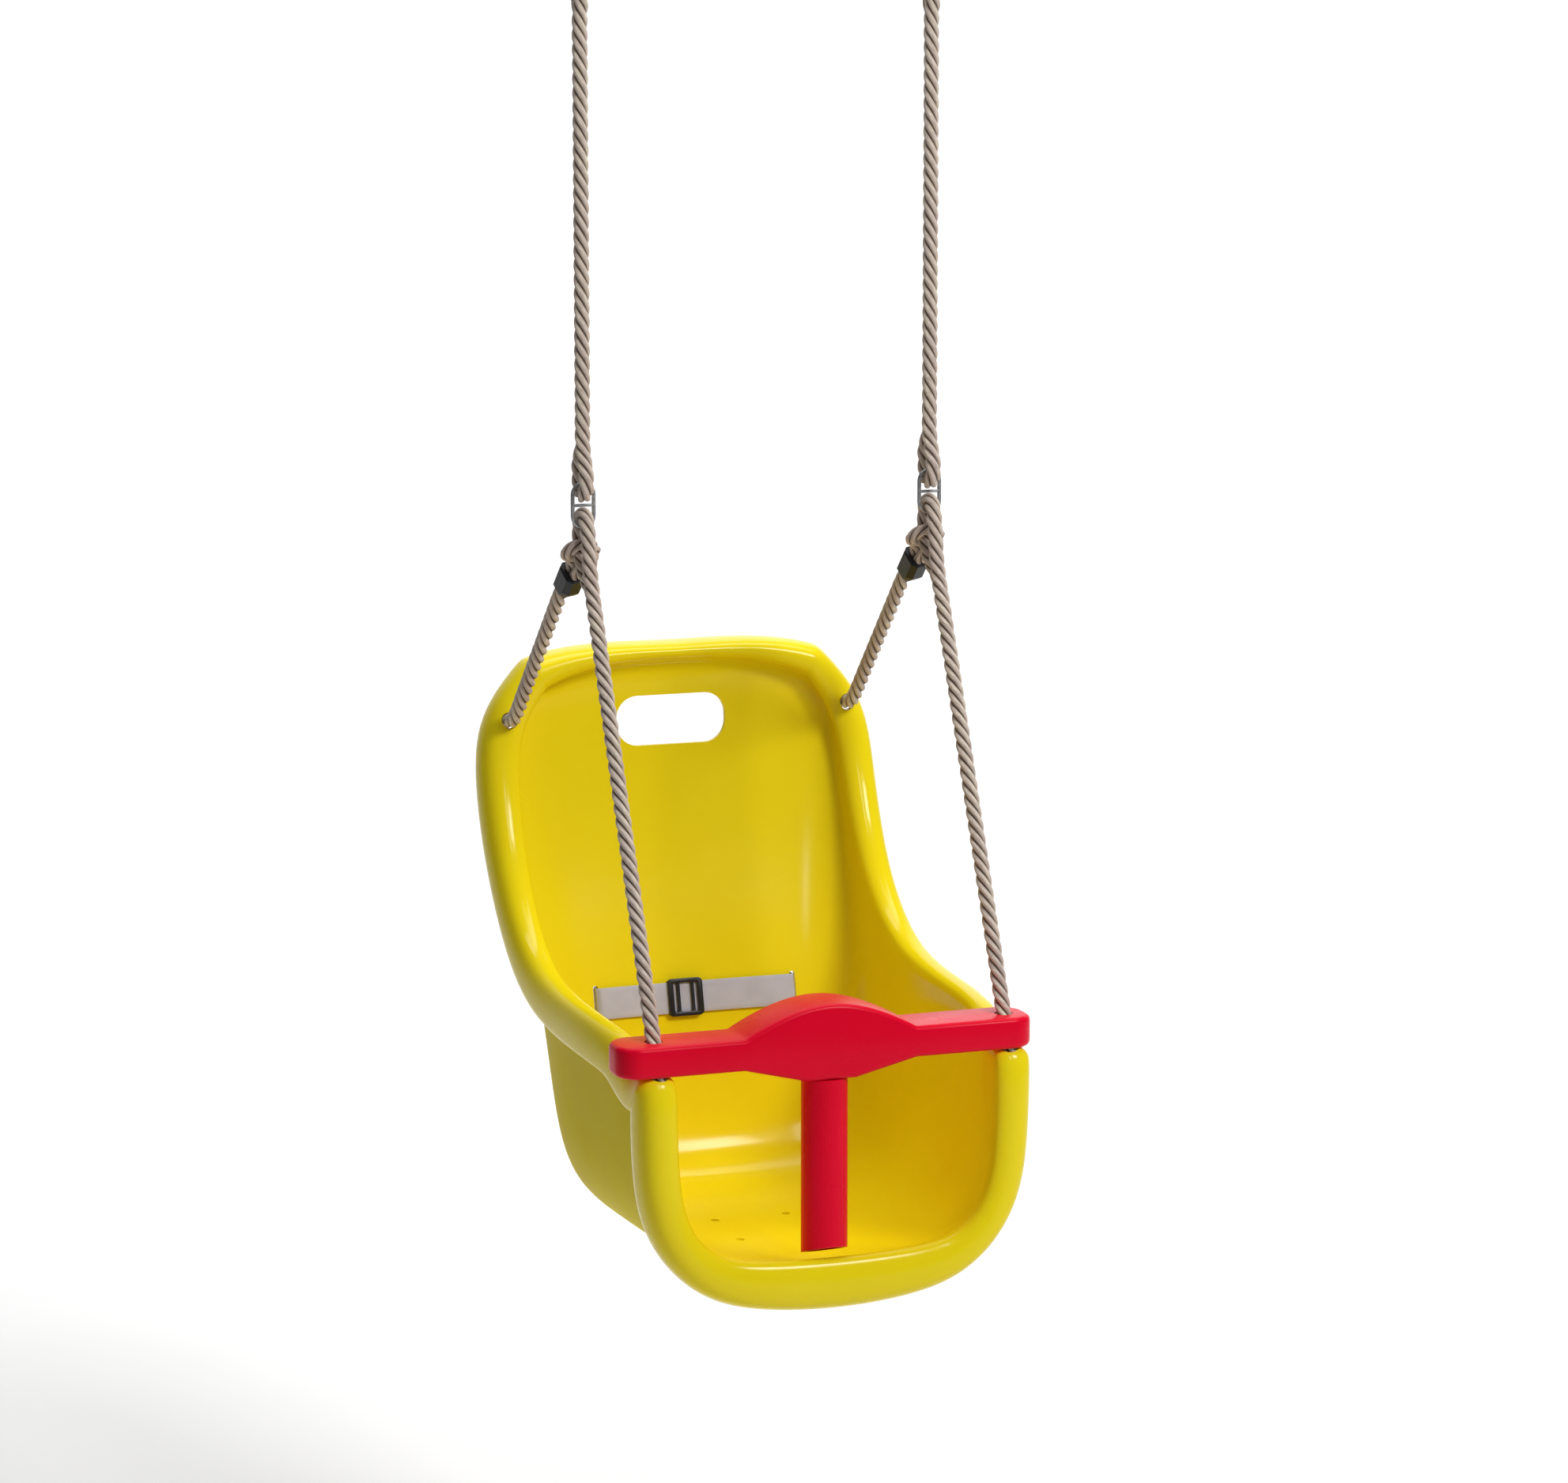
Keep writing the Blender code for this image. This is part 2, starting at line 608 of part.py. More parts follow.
def make_buckle():
    """Slide adjuster: a flat sleeve with three windows in its face."""
    front_y = []
    for dz in (-STRAP_W / 2, STRAP_W / 2):
        start = Vector((BUCKLE_X, -0.02, STRAP_Z + dz))
        front_y.append(strap_skin.ray_cast(start, Vector((0, 1, 0)))[0].y)
    lean = math.atan2(front_y[1] - front_y[0], STRAP_W)
    up = Vector((0, math.sin(lean), math.cos(lean)))
    out = Vector((0, -math.cos(lean), math.sin(lean)))
    wall_y = (front_y[0] + front_y[1]) / 2
    slump = (BUCKLE_OFF + GAP + BUCKLE_BACK + STRAP_T / 2) * math.sin(lean)
    base = Vector((BUCKLE_X, wall_y, STRAP_Z)) + out * BUCKLE_OFF - up * slump
    strap_half = STRAP_W / 2 / math.cos(lean) + 0.0006
    height = strap_half + BUCKLE_RIM
    hole_low = BUCKLE_BACK
    hole_high = hole_low + STRAP_T + 2 * GAP + 0.0004
    face = hole_high + BUCKLE_FRONT
    bm = bmesh.new()
    outer = [(-height, 0), (height, 0), (height, face), (-height, face)]
    inner = [
        (-strap_half, hole_low),
        (strap_half, hole_low),
        (strap_half, hole_high),
        (-strap_half, hole_high),
    ]
    loops = []
    for x in (-BUCKLE_LEN / 2, BUCKLE_LEN / 2):
        for outline in (outer, inner):
            points = [base + Vector((x, 0, 0)) + up * a + out * b for a, b in outline]
            loops.append([bm.verts.new(p) for p in points])
    near_outer, near_inner, far_outer, far_inner = loops
    for i in range(4):
        j = (i + 1) % 4
        bm.faces.new((near_outer[i], near_outer[j], far_outer[j], far_outer[i]))
        bm.faces.new((near_inner[j], near_inner[i], far_inner[i], far_inner[j]))
        bm.faces.new((near_outer[j], near_outer[i], near_inner[i], near_inner[j]))
        bm.faces.new((far_outer[i], far_outer[j], far_inner[j], far_inner[i]))
    bmesh.ops.recalc_face_normals(bm, faces=bm.faces[:])
    mesh = bpy.data.meshes.new("strap_buckle")
    bm.to_mesh(mesh)
    bm.free()
    obj = bpy.data.objects.new("strap_buckle", mesh)
    bpy.context.collection.objects.link(obj)
    finish(obj, BLACK, False)
    holes = bmesh.new()
    window_h = strap_half - 0.0012
    for x, half_w in ((-WINDOW_X, SLIT_HALF_W), (0.0, WINDOW_HALF_W), (WINDOW_X, SLIT_HALF_W)):
        window = rounded_outline(half_w, window_h, SLIT_HALF_W * 0.9, 2)
        centre = base + Vector((x, 0, 0)) + out * (hole_high + 0.002)
        add_prism(holes, window, centre, X_AXIS, up, 0.0055)
    relief = rounded_outline(0.0046, height + 0.002, 0.0008, 1)
    for x in (-0.0105, 0.0105):
        centre = base + Vector((x, 0, 0)) + out * (hole_low / 2 - 0.002)
        add_prism(holes, relief, centre, X_AXIS, up, hole_low + 0.004 + 0.0002)
    bmesh.ops.recalc_face_normals(holes, faces=holes.faces[:])
    hole_mesh = bpy.data.meshes.new("buckle_windows")
    holes.to_mesh(hole_mesh)
    holes.free()
    cutter = bpy.data.objects.new("buckle_windows", hole_mesh)
    bpy.context.collection.objects.link(cutter)
    cut(obj, cutter)
    return obj


strap_buckle = make_buckle()


# ---- ropes ------------------------------------------------------------------------------------
link_face = Vector((0, -1, 0))
link_across = Vector((1, 0, 0))
LINK_ARC = LINK_HALF_W - LINK_WIRE_R
RING_Z = RING_WIRE_R - RING_R
HINGE_Z = RING_Z - RING_R
THIMBLE_BORE = 0.0095
THIMBLE_Z = HINGE_Z + RING_WIRE_R + 2 * GAP - THIMBLE_BORE


def ease(share):
    """Smooth 0 to 1 step."""
    share = max(0.0, min(1.0, share))
    return share * share * (3 - 2 * share)


def eye_points(centre, away, crown, back, radius, merge, tail):
    """Rope line of an eye: tail end, round the pin, and down to where it joins its own line.

    tail lists (distance along the rope, distance back) of the returning leg, from the pin.
    """
    points = [centre + away * a + back * b for a, b in reversed(tail)]
    steps = 10
    for i in range(steps + 1):
        angle = math.pi * i / steps
        points.append(centre + (back * math.cos(angle) + crown * math.sin(angle)) * radius)
    steps = 5
    for i in range(1, steps + 1):
        share = i / steps
        points.append(centre + away * merge * share - back * radius * (1 - ease(share)))
    return points


def rope(name, points, shares=None):
    """Round rope along a line; shares thin it where it is drawn tight."""
    curve = bpy.data.curves.new(name, "CURVE")
    curve.dimensions = "3D"
    curve.bevel_depth = ROPE_R
    curve.bevel_resolution = 3
    curve.use_fill_caps = True
    curve.resolution_u = 1
    curve.render_resolution_u = 0
    spline = curve.splines.new("POLY")
    spline.points.add(len(points) - 1)
    for slot, point in zip(spline.points, points):
        slot.co = (*point, 1.0)
    for slot, share in zip(spline.points, shares or []):
        slot.radius = share
    obj = bpy.data.objects.new(name, curve)
    bpy.context.collection.objects.link(obj)
    curve.materials.append(ROPE)
    return obj


def straight(start, end, spacing):
    """Points between two ends, leaving both out."""
    count = max(1, round((end - start).length / spacing))
    return [start.lerp(end, i / count) for i in range(1, count)]


def bend(start, corner, end, steps):
    """Curve from start to end that leaves and arrives along the corner's two legs."""
    points = []
    for i in range(steps + 1):
        t = i / steps
        points.append(start * (1 - t) ** 2 + corner * 2 * t * (1 - t) + end * t * t)
    return points


UPPER_TAIL = [(0.004, 0.0083), (0.010, 0.0094), (0.018, 0.0114), (0.027, 0.0126)]
THIMBLE_TAIL = [
    (0.004, 0.0187),
    (0.012, 0.0180),
    (0.022, 0.0158),
    (0.034, 0.0136),
    (0.045, 0.0127),
    (0.058, 0.0125),
]
FRONT_TAIL = [
    (0.003, 0.0115),
    (0.006, 0.0145),
    (0.010, 0.0160),
    (0.015, 0.0158),
    (0.021, 0.0148),
    (0.027, 0.0140),
    (0.034, 0.0135),
    (0.042, 0.0132),
    (0.050, 0.0132),
]
FRONT_MERGE = 0.050
REAR_REACH_A = 0.0160
REAR_REACH_B = 0.0157
FERRULE_START = 0.0240
FERRULE_LEN = 0.0245
FERRULE_TWIST = math.radians(78)
FERRULE_BLIND = 0.0035
SWELL_LEN = 0.016
REAR_LOOP = 0.0119
REAR_EYE_R = 0.0044
TAIL_GAP = 2 * REAR_EYE_R + GAP
REAR_BEND_Y = 0.1800


def upper_rope(side):
    """From the top ring's thimble down to the link."""
    top = Vector((side * SPREAD, 0, THIMBLE_Z))
    radius = THIMBLE_R + ROPE_R + GAP
    up = Vector((0, 0, 1))
    first = eye_points(top, -up, up, Vector((0, 1, 0)), radius, 0.055, THIMBLE_TAIL)
    pin = Vector((side * SPREAD, 0, JUNCTION_Z + LINK_BAR_RISE))
    second = eye_points(pin, up, -up, -link_face, ROPE_BEND_R, 0.030, UPPER_TAIL)
    second.reverse()
    return first + straight(first[-1], second[0], 0.030) + second


def front_frame(side):
    """Pin, run direction and back direction of the front rope's eye."""
    pin = Vector((side * SPREAD, 0, JUNCTION_Z - LINK_BAR_RISE))
    hole = Vector((side * FRONT_X, FRONT_Y, JUNCTION_Z - BAR_TOP_DROP))
    away = (hole - pin).normalized()
    return pin, hole, away, Vector(X_AXIS).cross(away).normalized()


def front_rope(side):
    """From the link, through the crossbar and the lip, to the stopper knot."""
    pin, hole, away, back = front_frame(side)
    points = eye_points(pin, away, -away, back, FRONT_BEND_R, FRONT_MERGE, FRONT_TAIL)
    out = hole + away * (BAR_H / away.z * -1 - 0.001)
    points += straight(points[-1], out, 0.030)
    lip = Vector((side * FRONT_X, LIP_HOLE_Y, out.z - 0.0080))
    points += bend(out, out + away * 0.0015, lip, 3)
    points.append(Vector((side * FRONT_X, LIP_HOLE_Y, JUNCTION_Z - FRONT_END_DROP)))
    return points


def rear_frame(side):
    """Loop centre, run direction and the two directions across the rear rope's eye."""
    pin, _, away, back = front_frame(side)
    centre = pin + away * REAR_REACH_A + back * REAR_REACH_B
    elbow = Vector((side * REAR_X, REAR_BEND_Y, JUNCTION_Z - REAR_DROP))
    run = (elbow - centre).normalized()
    across = Vector(X_AXIS)
    across = (across - run * across.dot(run)).normalized()
    return centre, elbow, run, across


def rear_leg(side, distance, leg):
    """Point on one leg of the rear eye; leg is 1 for the long leg and -1 for the tail."""
    centre, _, run, across = rear_frame(side)
    share = ease(distance / (FERRULE_START - 0.004))
    twist = FERRULE_TWIST * share
    depth = across.cross(run)
    if depth.y < 0:
        depth = -depth
    half = REAR_LOOP - 0.0005 + (TAIL_GAP / 2 - REAR_LOOP + 0.0005) * share
    offset = (across * -math.cos(twist) + depth * math.sin(twist)) * half * leg
    return centre + run * distance + offset


def rear_rope(side):
    """Eye round the back leg of the front rope's eye, through the ferrule to the seat back."""
    centre, elbow, run, across = rear_frame(side)
    tail_end = FERRULE_START + FERRULE_LEN - FERRULE_BLIND
    points = [rear_leg(side, tail_end, -1), rear_leg(side, FERRULE_START + 0.010, -1)]
    steps = 8
    points += [rear_leg(side, FERRULE_START * (1 - i / steps), -1) for i in range(steps)]
    for i in range(9):
        angle = math.pi * i / 8
        reach = REAR_LOOP - 0.0005
        tip = run * -REAR_LOOP * math.sin(angle)
        points.append(centre + across * reach * math.cos(angle) + tip)
    points += [rear_leg(side, FERRULE_START * i / steps, 1) for i in range(1, steps + 1)]
    points.append(rear_leg(side, FERRULE_START + FERRULE_LEN, 1))
    hole_in = Vector((side * REAR_X, REAR_BEND_Y + 0.010, elbow.z))
    before = elbow + (points[-1] - elbow).normalized() * 0.012
    swollen = points[-1] + (before - points[-1]).normalized() * SWELL_LEN
    points += straight(points[-1], swollen, 0.004)
    points.append(swollen)
    points += straight(swollen, before, 0.030)
    points += bend(before, elbow, hole_in, 5)
    points.append(Vector((side * REAR_X, REAR_END_Y, elbow.z)))
    shares = []
    for point in points:
        past = (point - centre).dot(run) - FERRULE_START - FERRULE_LEN
        shares.append(REAR_EYE_R / ROPE_R + (1 - REAR_EYE_R / ROPE_R) * ease(past / SWELL_LEN))
    return points, shares


FRONT_END_DROP = 0.4172
REAR_END_Y = 0.2002
for side, word in SIDES:
    rope(f"upper_rope_{word}", upper_rope(side))
    rope(f"front_rope_{word}", front_rope(side))
    rope(f"rear_rope_{word}", *rear_rope(side))


# ---- rings, thimbles and links ------------------------------------------------------------------
def swept_loop(name, line, radius, plane_normal, mat, sides=12):
    """Closed wire of round section along a flat closed line."""
    verts = []
    count = len(line)
    for i in range(count):
        tangent = (line[(i + 1) % count] - line[i - 1]).normalized()
        out = tangent.cross(plane_normal).normalized()
        for k in range(sides):
            angle = 2 * math.pi * k / sides
            spoke = out * math.cos(angle) + plane_normal * math.sin(angle)
            verts.append(line[i] + spoke * radius)
    faces = []
    for i in range(count):
        j = (i + 1) % count
        for k in range(sides):
            m = (k + 1) % sides
            faces.append((i * sides + k, i * sides + m, j * sides + m, j * sides + k))
    return mesh_object(name, verts, faces, mat)


for side, word in SIDES:
    ring_line = []
    for i in range(32):
        angle = 2 * math.pi * i / 32
        x = side * SPREAD + RING_R * math.cos(angle)
        ring_line.append(Vector((x, 0, RING_Z + RING_R * math.sin(angle))))
    swept_loop(f"top_ring_{word}", ring_line, RING_WIRE_R, Vector((0, 1, 0)), STEEL, 12)

    groove = THIMBLE_R
    half = 0.0066
    thimble = lathe(
        f"thimble_{word}",
        [
            (THIMBLE_BORE, -0.0020),
            (THIMBLE_BORE + 0.0016, -0.0058),
            (groove + 0.0040, -half - 0.0012),
            (groove + 0.0044, -half - 0.0004),
            (groove + 0.0006, -0.0046),
            (groove, -0.0020),
            (groove, 0.0020),
            (groove + 0.0006, 0.0046),
            (groove + 0.0044, half + 0.0004),
            (groove + 0.0040, half + 0.0012),
            (THIMBLE_BORE + 0.0016, 0.0058),
            (THIMBLE_BORE, 0.0020),
        ],
        (side * SPREAD, 0, THIMBLE_Z),
        STEEL,
        28,
    )
    thimble.rotation_euler = (0, math.pi / 2, 0)

    link_centre = Vector((side * SPREAD, 0, JUNCTION_Z))
    line = []
    arc_steps = 12
    flat = LINK_BAR_RISE - LINK_ARC
    for half_turn in (0, 1):
        for i in range(arc_steps + 1):
            angle = math.pi * (half_turn + i / arc_steps)
            rise = flat if half_turn == 0 else -flat
            a = LINK_ARC * math.cos(angle)
            b = LINK_ARC * math.sin(angle) + rise
            line.append(link_centre + link_across * a + Vector((0, 0, b)))
    link = swept_loop(f"link_{word}", line, LINK_WIRE_R, link_face, STEEL, 10)
    cross = cylinder(f"link_bar_form_{word}", 0.0012, 2 * LINK_ARC, link_centre, link_across, 10)
    cut(link, cross, "UNION")


# ---- ferrules -----------------------------------------------------------------------------------
FERRULE_W = 0.0106
FERRULE_T = 0.0086
FERRULE_CHAMFER = 0.0042
BORE_R = REAR_EYE_R + GAP


def make_ferrule(name, side):
    """Moulded clamp that closes the rear rope's eye; the long leg runs through, the tail is blind."""
    centre, _, run, _ = rear_frame(side)
    start = centre + run * FERRULE_START
    wide = (rear_leg(side, FERRULE_START + 0.01, 1) - rear_leg(side, FERRULE_START + 0.01, -1))
    wide.normalize()
    thick = run.cross(wide)
    slim_w, slim_t = FERRULE_W - 0.0010, FERRULE_T - 0.0008
    stations = [
        (0.0000, -slim_w, slim_w, slim_t),
        (0.0014, -FERRULE_W, FERRULE_W, FERRULE_T),
        (FERRULE_LEN * 0.7, -FERRULE_W, FERRULE_W, FERRULE_T),
        (FERRULE_LEN - 0.0014, -0.0078, FERRULE_W, FERRULE_T),
        (FERRULE_LEN, -0.0068, slim_w, slim_t),
    ]
    verts = []
    chamfer = FERRULE_CHAMFER
    for along, low, high, half_t in stations:
        outline = [
            (low + chamfer, -half_t),
            (high - chamfer, -half_t),
            (high, -half_t + chamfer),
            (high, half_t - chamfer),
            (high - chamfer, half_t),
            (low + chamfer, half_t),
            (low, half_t - chamfer),
            (low, -half_t + chamfer),
        ]
        for a, b in outline:
            verts.append(start + run * along + wide * a + thick * b)
    faces = [list(range(8)), list(range(len(verts) - 1, len(verts) - 9, -1))]
    for ring in range(len(stations) - 1):
        for k in range(8):
            m = (k + 1) % 8
            one = ring * 8
            faces.append((one + k, one + m, one + 8 + m, one + 8 + k))
    obj = mesh_object(name, verts, faces, BLACK)
    for face in obj.data.polygons:
        face.use_smooth = False
    spread = TAIL_GAP / 2
    low, high = -0.0045, FERRULE_LEN - FERRULE_BLIND + GAP
    far = FERRULE_LEN + 0.0040
    bore = ring_outline(BORE_R + 2 * GAP, 22)
    slot = rounded_outline(spread + BORE_R, BORE_R, BORE_R, 6)
    for label, outline, middle, depth in (
        ("channel", slot, (0, (low + high) / 2), high - low),
        ("through", bore, (spread, (far + high) / 2 - 0.002), far - high + 0.004),
    ):
        bm = bmesh.new()
        at = start + wide * middle[0] + run * middle[1]
        add_prism(bm, outline, at, wide, thick, depth)
        bmesh.ops.recalc_face_normals(bm, faces=bm.faces[:])
        mesh = bpy.data.meshes.new(f"{name}_{label}")
        bm.to_mesh(mesh)
        bm.free()
        cutter = bpy.data.objects.new(f"{name}_{label}", mesh)
        bpy.context.collection.objects.link(cutter)
        cut(obj, cutter)
    return obj


def make_knot(name, location, axis, half_height, radius):
    """Stopper knot: three rope turns drawn up into a lump."""
    verts = []
    rows = 8
    steps = 24
    for i in range(1, rows):
        polar = math.pi * i / rows
        for k in range(steps):
            angle = 2 * math.pi * k / steps
            wave = 1 - 0.06 * (0.5 - 0.5 * math.cos(3 * angle + 2.2 * math.cos(polar)))
            flat = math.sin(polar) ** 0.7
            verts.append(
                Vector(
                    (
                        radius * wave * flat * math.cos(angle),
                        radius * wave * flat * math.sin(angle),
                        half_height * math.cos(polar),
                    )
                )
            )
    faces = []
    for i in range(rows - 2):
        for k in range(steps):
            m = (k + 1) % steps
            faces.append((i * steps + k, i * steps + m, (i + 1) * steps + m, (i + 1) * steps + k))
    faces.append(list(range(steps)))
    faces.append(list(range((rows - 2) * steps, (rows - 1) * steps)))
    obj = mesh_object(name, verts, faces, ROPE)
    obj.rotation_mode = "QUATERNION"
    obj.rotation_quaternion = Vector(axis).to_track_quat("Z", "Y")
    obj.location = location
    return obj


KNOT_R = 0.0088
KNOT_HALF = 0.0085
KNOT_FLAT = KNOT_HALF * math.cos(math.pi / 8)
for side, word in SIDES:
    make_ferrule(f"rear_ferrule_{word}", side)
    low_knot = (
        side * (FRONT_X + 0.0005),
        LIP_HOLE_Y + 0.0035,
        JUNCTION_Z - FRONT_END_DROP - GAP - KNOT_FLAT,
    )
    make_knot(f"front_knot_{word}", low_knot, Z_AXIS, KNOT_HALF, KNOT_R)
    back_knot = (
        side * (REAR_X - 0.0016),
        REAR_END_Y + GAP + KNOT_FLAT,
        JUNCTION_Z - REAR_DROP - 0.0008,
    )
    make_knot(f"rear_knot_{word}", back_knot, Y_AXIS, KNOT_HALF, KNOT_R)

# ---- hinge axes ---------------------------------------------------------------------------------
TOP_GROUP = ("upper_rope", "thimble", "link")
FIXED_GROUP = ("top_ring",)
swing_pivot = bpy.data.objects.new("swing_pivot", None)
swing_pivot.location = (0, 0, HINGE_Z)
bpy.context.collection.objects.link(swing_pivot)
tilt_pivot = bpy.data.objects.new("tilt_pivot", None)
tilt_pivot.location = (0, 0, JUNCTION_Z - LINK_BAR_RISE)
bpy.context.collection.objects.link(tilt_pivot)
bpy.context.view_layer.update()
for obj in list(bpy.data.objects):
    if obj.type == "EMPTY" or obj.name.startswith(FIXED_GROUP):
        continue
    pivot = swing_pivot if obj.name.startswith(TOP_GROUP) else tilt_pivot
    obj.parent = pivot
    obj.matrix_parent_inverse = pivot.matrix_world.inverted()
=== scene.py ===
"""Looks for the toddler bucket swing: seat, T-bar, ropes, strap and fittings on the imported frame."""

import math

import bmesh
import bpy
import numpy as np
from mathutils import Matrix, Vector
from mathutils.bvhtree import BVHTree


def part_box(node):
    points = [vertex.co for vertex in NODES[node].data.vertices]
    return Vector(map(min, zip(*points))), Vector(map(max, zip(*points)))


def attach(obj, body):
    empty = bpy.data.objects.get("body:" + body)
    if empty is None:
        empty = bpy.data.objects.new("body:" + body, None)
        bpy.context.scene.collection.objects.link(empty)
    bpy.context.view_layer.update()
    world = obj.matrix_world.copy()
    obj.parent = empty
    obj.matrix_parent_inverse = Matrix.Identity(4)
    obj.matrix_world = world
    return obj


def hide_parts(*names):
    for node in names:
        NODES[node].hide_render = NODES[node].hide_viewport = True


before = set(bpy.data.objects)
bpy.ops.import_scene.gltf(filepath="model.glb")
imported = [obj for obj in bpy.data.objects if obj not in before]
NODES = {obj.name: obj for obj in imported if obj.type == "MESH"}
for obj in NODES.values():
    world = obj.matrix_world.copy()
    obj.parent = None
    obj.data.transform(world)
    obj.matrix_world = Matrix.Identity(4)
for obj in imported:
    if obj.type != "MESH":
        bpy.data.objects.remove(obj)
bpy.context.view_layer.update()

X_AXIS = Vector((1, 0, 0))
Y_AXIS = Vector((0, 1, 0))
Z_AXIS = Vector((0, 0, 1))
SIDES = ((-1, "left"), (1, "right"))

# ---- camera ------------------------------------
# The point looked at, the way back from it to the camera, and how far.
TARGET = Vector((0.021, 0.0, -0.657))
BACK = Vector((-0.3374, -0.9269, 0.1647)).normalized()
DISTANCE = 3.644
SENSOR_MM = 36.0
LENS_MM = 107.1
CLIP_END = 60.0


def linked(name, data):
    """New object in the scene."""
    obj = bpy.data.objects.new(name, data)
    bpy.context.scene.collection.objects.link(obj)
    return obj


def placed(name, data, location, back):
    """Camera or light at a location; back points away from what it looks at."""
    obj = linked(name, data)
    obj.location = location
    obj.rotation_mode = "QUATERNION"
    obj.rotation_quaternion = back.to_track_quat("Z", "Y")
    return obj


lens = bpy.data.cameras.new("camera")
lens.sensor_fit = "HORIZONTAL"
lens.sensor_width = SENSOR_MM
lens.lens = LENS_MM
lens.clip_end = CLIP_END
bpy.context.scene.camera = placed("camera", lens, TARGET + BACK * DISTANCE, BACK)


# ---- materials ---------------------------------
def new_material(name, roughness=0.5, metallic=0.0, specular=0.5):
    """Principled material; returns it with its node tree and shader."""
    mat = bpy.data.materials.new(name)
    mat.use_nodes = True
    tree = mat.node_tree
    shader = tree.nodes["Principled BSDF"]
    shader.inputs["Roughness"].default_value = roughness
    shader.inputs["Metallic"].default_value = metallic
    shader.inputs["Specular IOR Level"].default_value = specular
    return mat, tree, shader


def node(tree, kind, **values):
    """Add a node; values set its inputs by name with _ for a space."""
    made = tree.nodes.new(kind)
    for key, value in values.items():
        made.inputs[key.replace("_", " ")].default_value = value
    return made


def object_coords(tree):
    """Texture coordinates in metres that stay with the piece."""
    return tree.nodes.new("ShaderNodeTexCoord").outputs["Object"]


def noise(tree, vector, scale, detail=3.0, rough=0.5):
    """Noise texture factor."""
    made = node(tree, "ShaderNodeTexNoise", Scale=scale, Detail=detail, Roughness=rough)
    tree.links.new(vector, made.inputs["Vector"])
    return made.outputs["Fac"]


def ramp(tree, factor, stops):
    """Colour ramp over a factor."""
    made = tree.nodes.new("ShaderNodeValToRGB")
    bar = made.color_ramp
    while len(bar.elements) < len(stops):
        bar.elements.new(0.5)
    for element, (at, colour) in zip(bar.elements, stops):
        element.position = at
        element.color = (*colour, 1.0)
    tree.links.new(factor, made.inputs["Fac"])
    return made.outputs["Color"]


def spread(tree, factor, low, high, from_low=0.3, from_high=0.7):
    """Map a factor to a range."""
    limits = {"From_Min": from_low, "From_Max": from_high, "To_Min": low, "To_Max": high}
    made = node(tree, "ShaderNodeMapRange", **limits)
    tree.links.new(factor, made.inputs["Value"])
    return made.outputs["Result"]


def bump(tree, height, distance, strength, normal=None):
    """Bump node."""
    made = node(tree, "ShaderNodeBump", Strength=strength, Distance=distance)
    tree.links.new(height, made.inputs["Height"])
    if normal is not None:
        tree.links.new(normal, made.inputs["Normal"])
    return made.outputs["Normal"]


def attribute(tree, name):
    """Node that reads an attribute stored on the mesh."""
    made = tree.nodes.new("ShaderNodeAttribute")
    made.attribute_name = name
    return made


def multiplied(tree, one, two):
    """Product of two colours."""
    mix = tree.nodes.new("ShaderNodeMix")
    mix.data_type = "RGBA"
    mix.blend_type = "MULTIPLY"
    mix.inputs["Factor"].default_value = 1.0
    tree.links.new(one, mix.inputs["A"])
    tree.links.new(two, mix.inputs["B"])
    return mix.outputs["Result"]


# Noise scales are per metre; heights are in metres.
MOTTLE_SCALE = 9.0
GLOSS_SCALE = 14.0
PEEL_SCALE = 420.0
PEEL_HEIGHT = 0.00004
PEEL_STRENGTH = 0.20


def moulded_plastic(name, light, dark, rough_low, rough_high, ior):
    """Moulded plastic: faint mottling, uneven gloss, orange peel."""
    mat, tree, shader = new_material(name)
    coords = object_coords(tree)
    cloud = noise(tree, coords, MOTTLE_SCALE, 2.0)
    fine = noise(tree, coords, PEEL_SCALE, 1.0)
    colour = ramp(tree, cloud, [(0.32, dark), (0.68, light)])
    tree.links.new(colour, shader.inputs["Base Color"])
    gloss = noise(tree, coords, GLOSS_SCALE, 2.0)
    tree.links.new(spread(tree, gloss, rough_low, rough_high), shader.inputs["Roughness"])
    tree.links.new(bump(tree, fine, PEEL_HEIGHT, PEEL_STRENGTH), shader.inputs["Normal"])
    shader.inputs["IOR"].default_value = ior
    return mat


YELLOW = moulded_plastic(
    "yellow_moulded", (0.90, 0.72, 0.008), (0.87, 0.685, 0.006), 0.12, 0.18, ior=1.27
)
# Satin finish for the outer skin; its yellow is darker than the inside's, which is painted shade.
YELLOW_OUTSIDE_SHADED = moulded_plastic(
    "yellow_satin_shaded", (0.80, 0.64, 0.012), (0.75, 0.59, 0.010), 0.42, 0.55, ior=1.12
)
RED = moulded_plastic(
    "red_moulded", (0.80, 0.0015, 0.026), (0.74, 0.001, 0.022), 0.24, 0.32, ior=1.20
)
BLACK = moulded_plastic(
    "black_moulded", (0.022, 0.022, 0.024), (0.012, 0.012, 0.013), 0.30, 0.42, ior=1.35
)


# Colour from a strand's crown down into the groove beside it, darkening with painted shade.
GROOVE_SHADE_STOPS = [
    (0.0, (0.88, 0.78, 0.66)),
    (0.22, (0.68, 0.58, 0.465)),
    (0.55, (0.26, 0.205, 0.150)),
    (0.90, (0.030, 0.023, 0.017)),
]
FIBRE_STOPS = [(0.34, (0.50, 0.46, 0.42)), (0.56, (1.0, 1.0, 1.0))]
DUST_STOPS = [(0.32, (0.80, 0.74, 0.80)), (0.68, (1.0, 1.0, 0.97))]
FIBRE_SCALE = 3400.0
YARN_SCALE = 1100.0
DUST_SCALE = 160.0
FIBRE_HEIGHT = 0.0006
YARN_HEIGHT = 0.0010


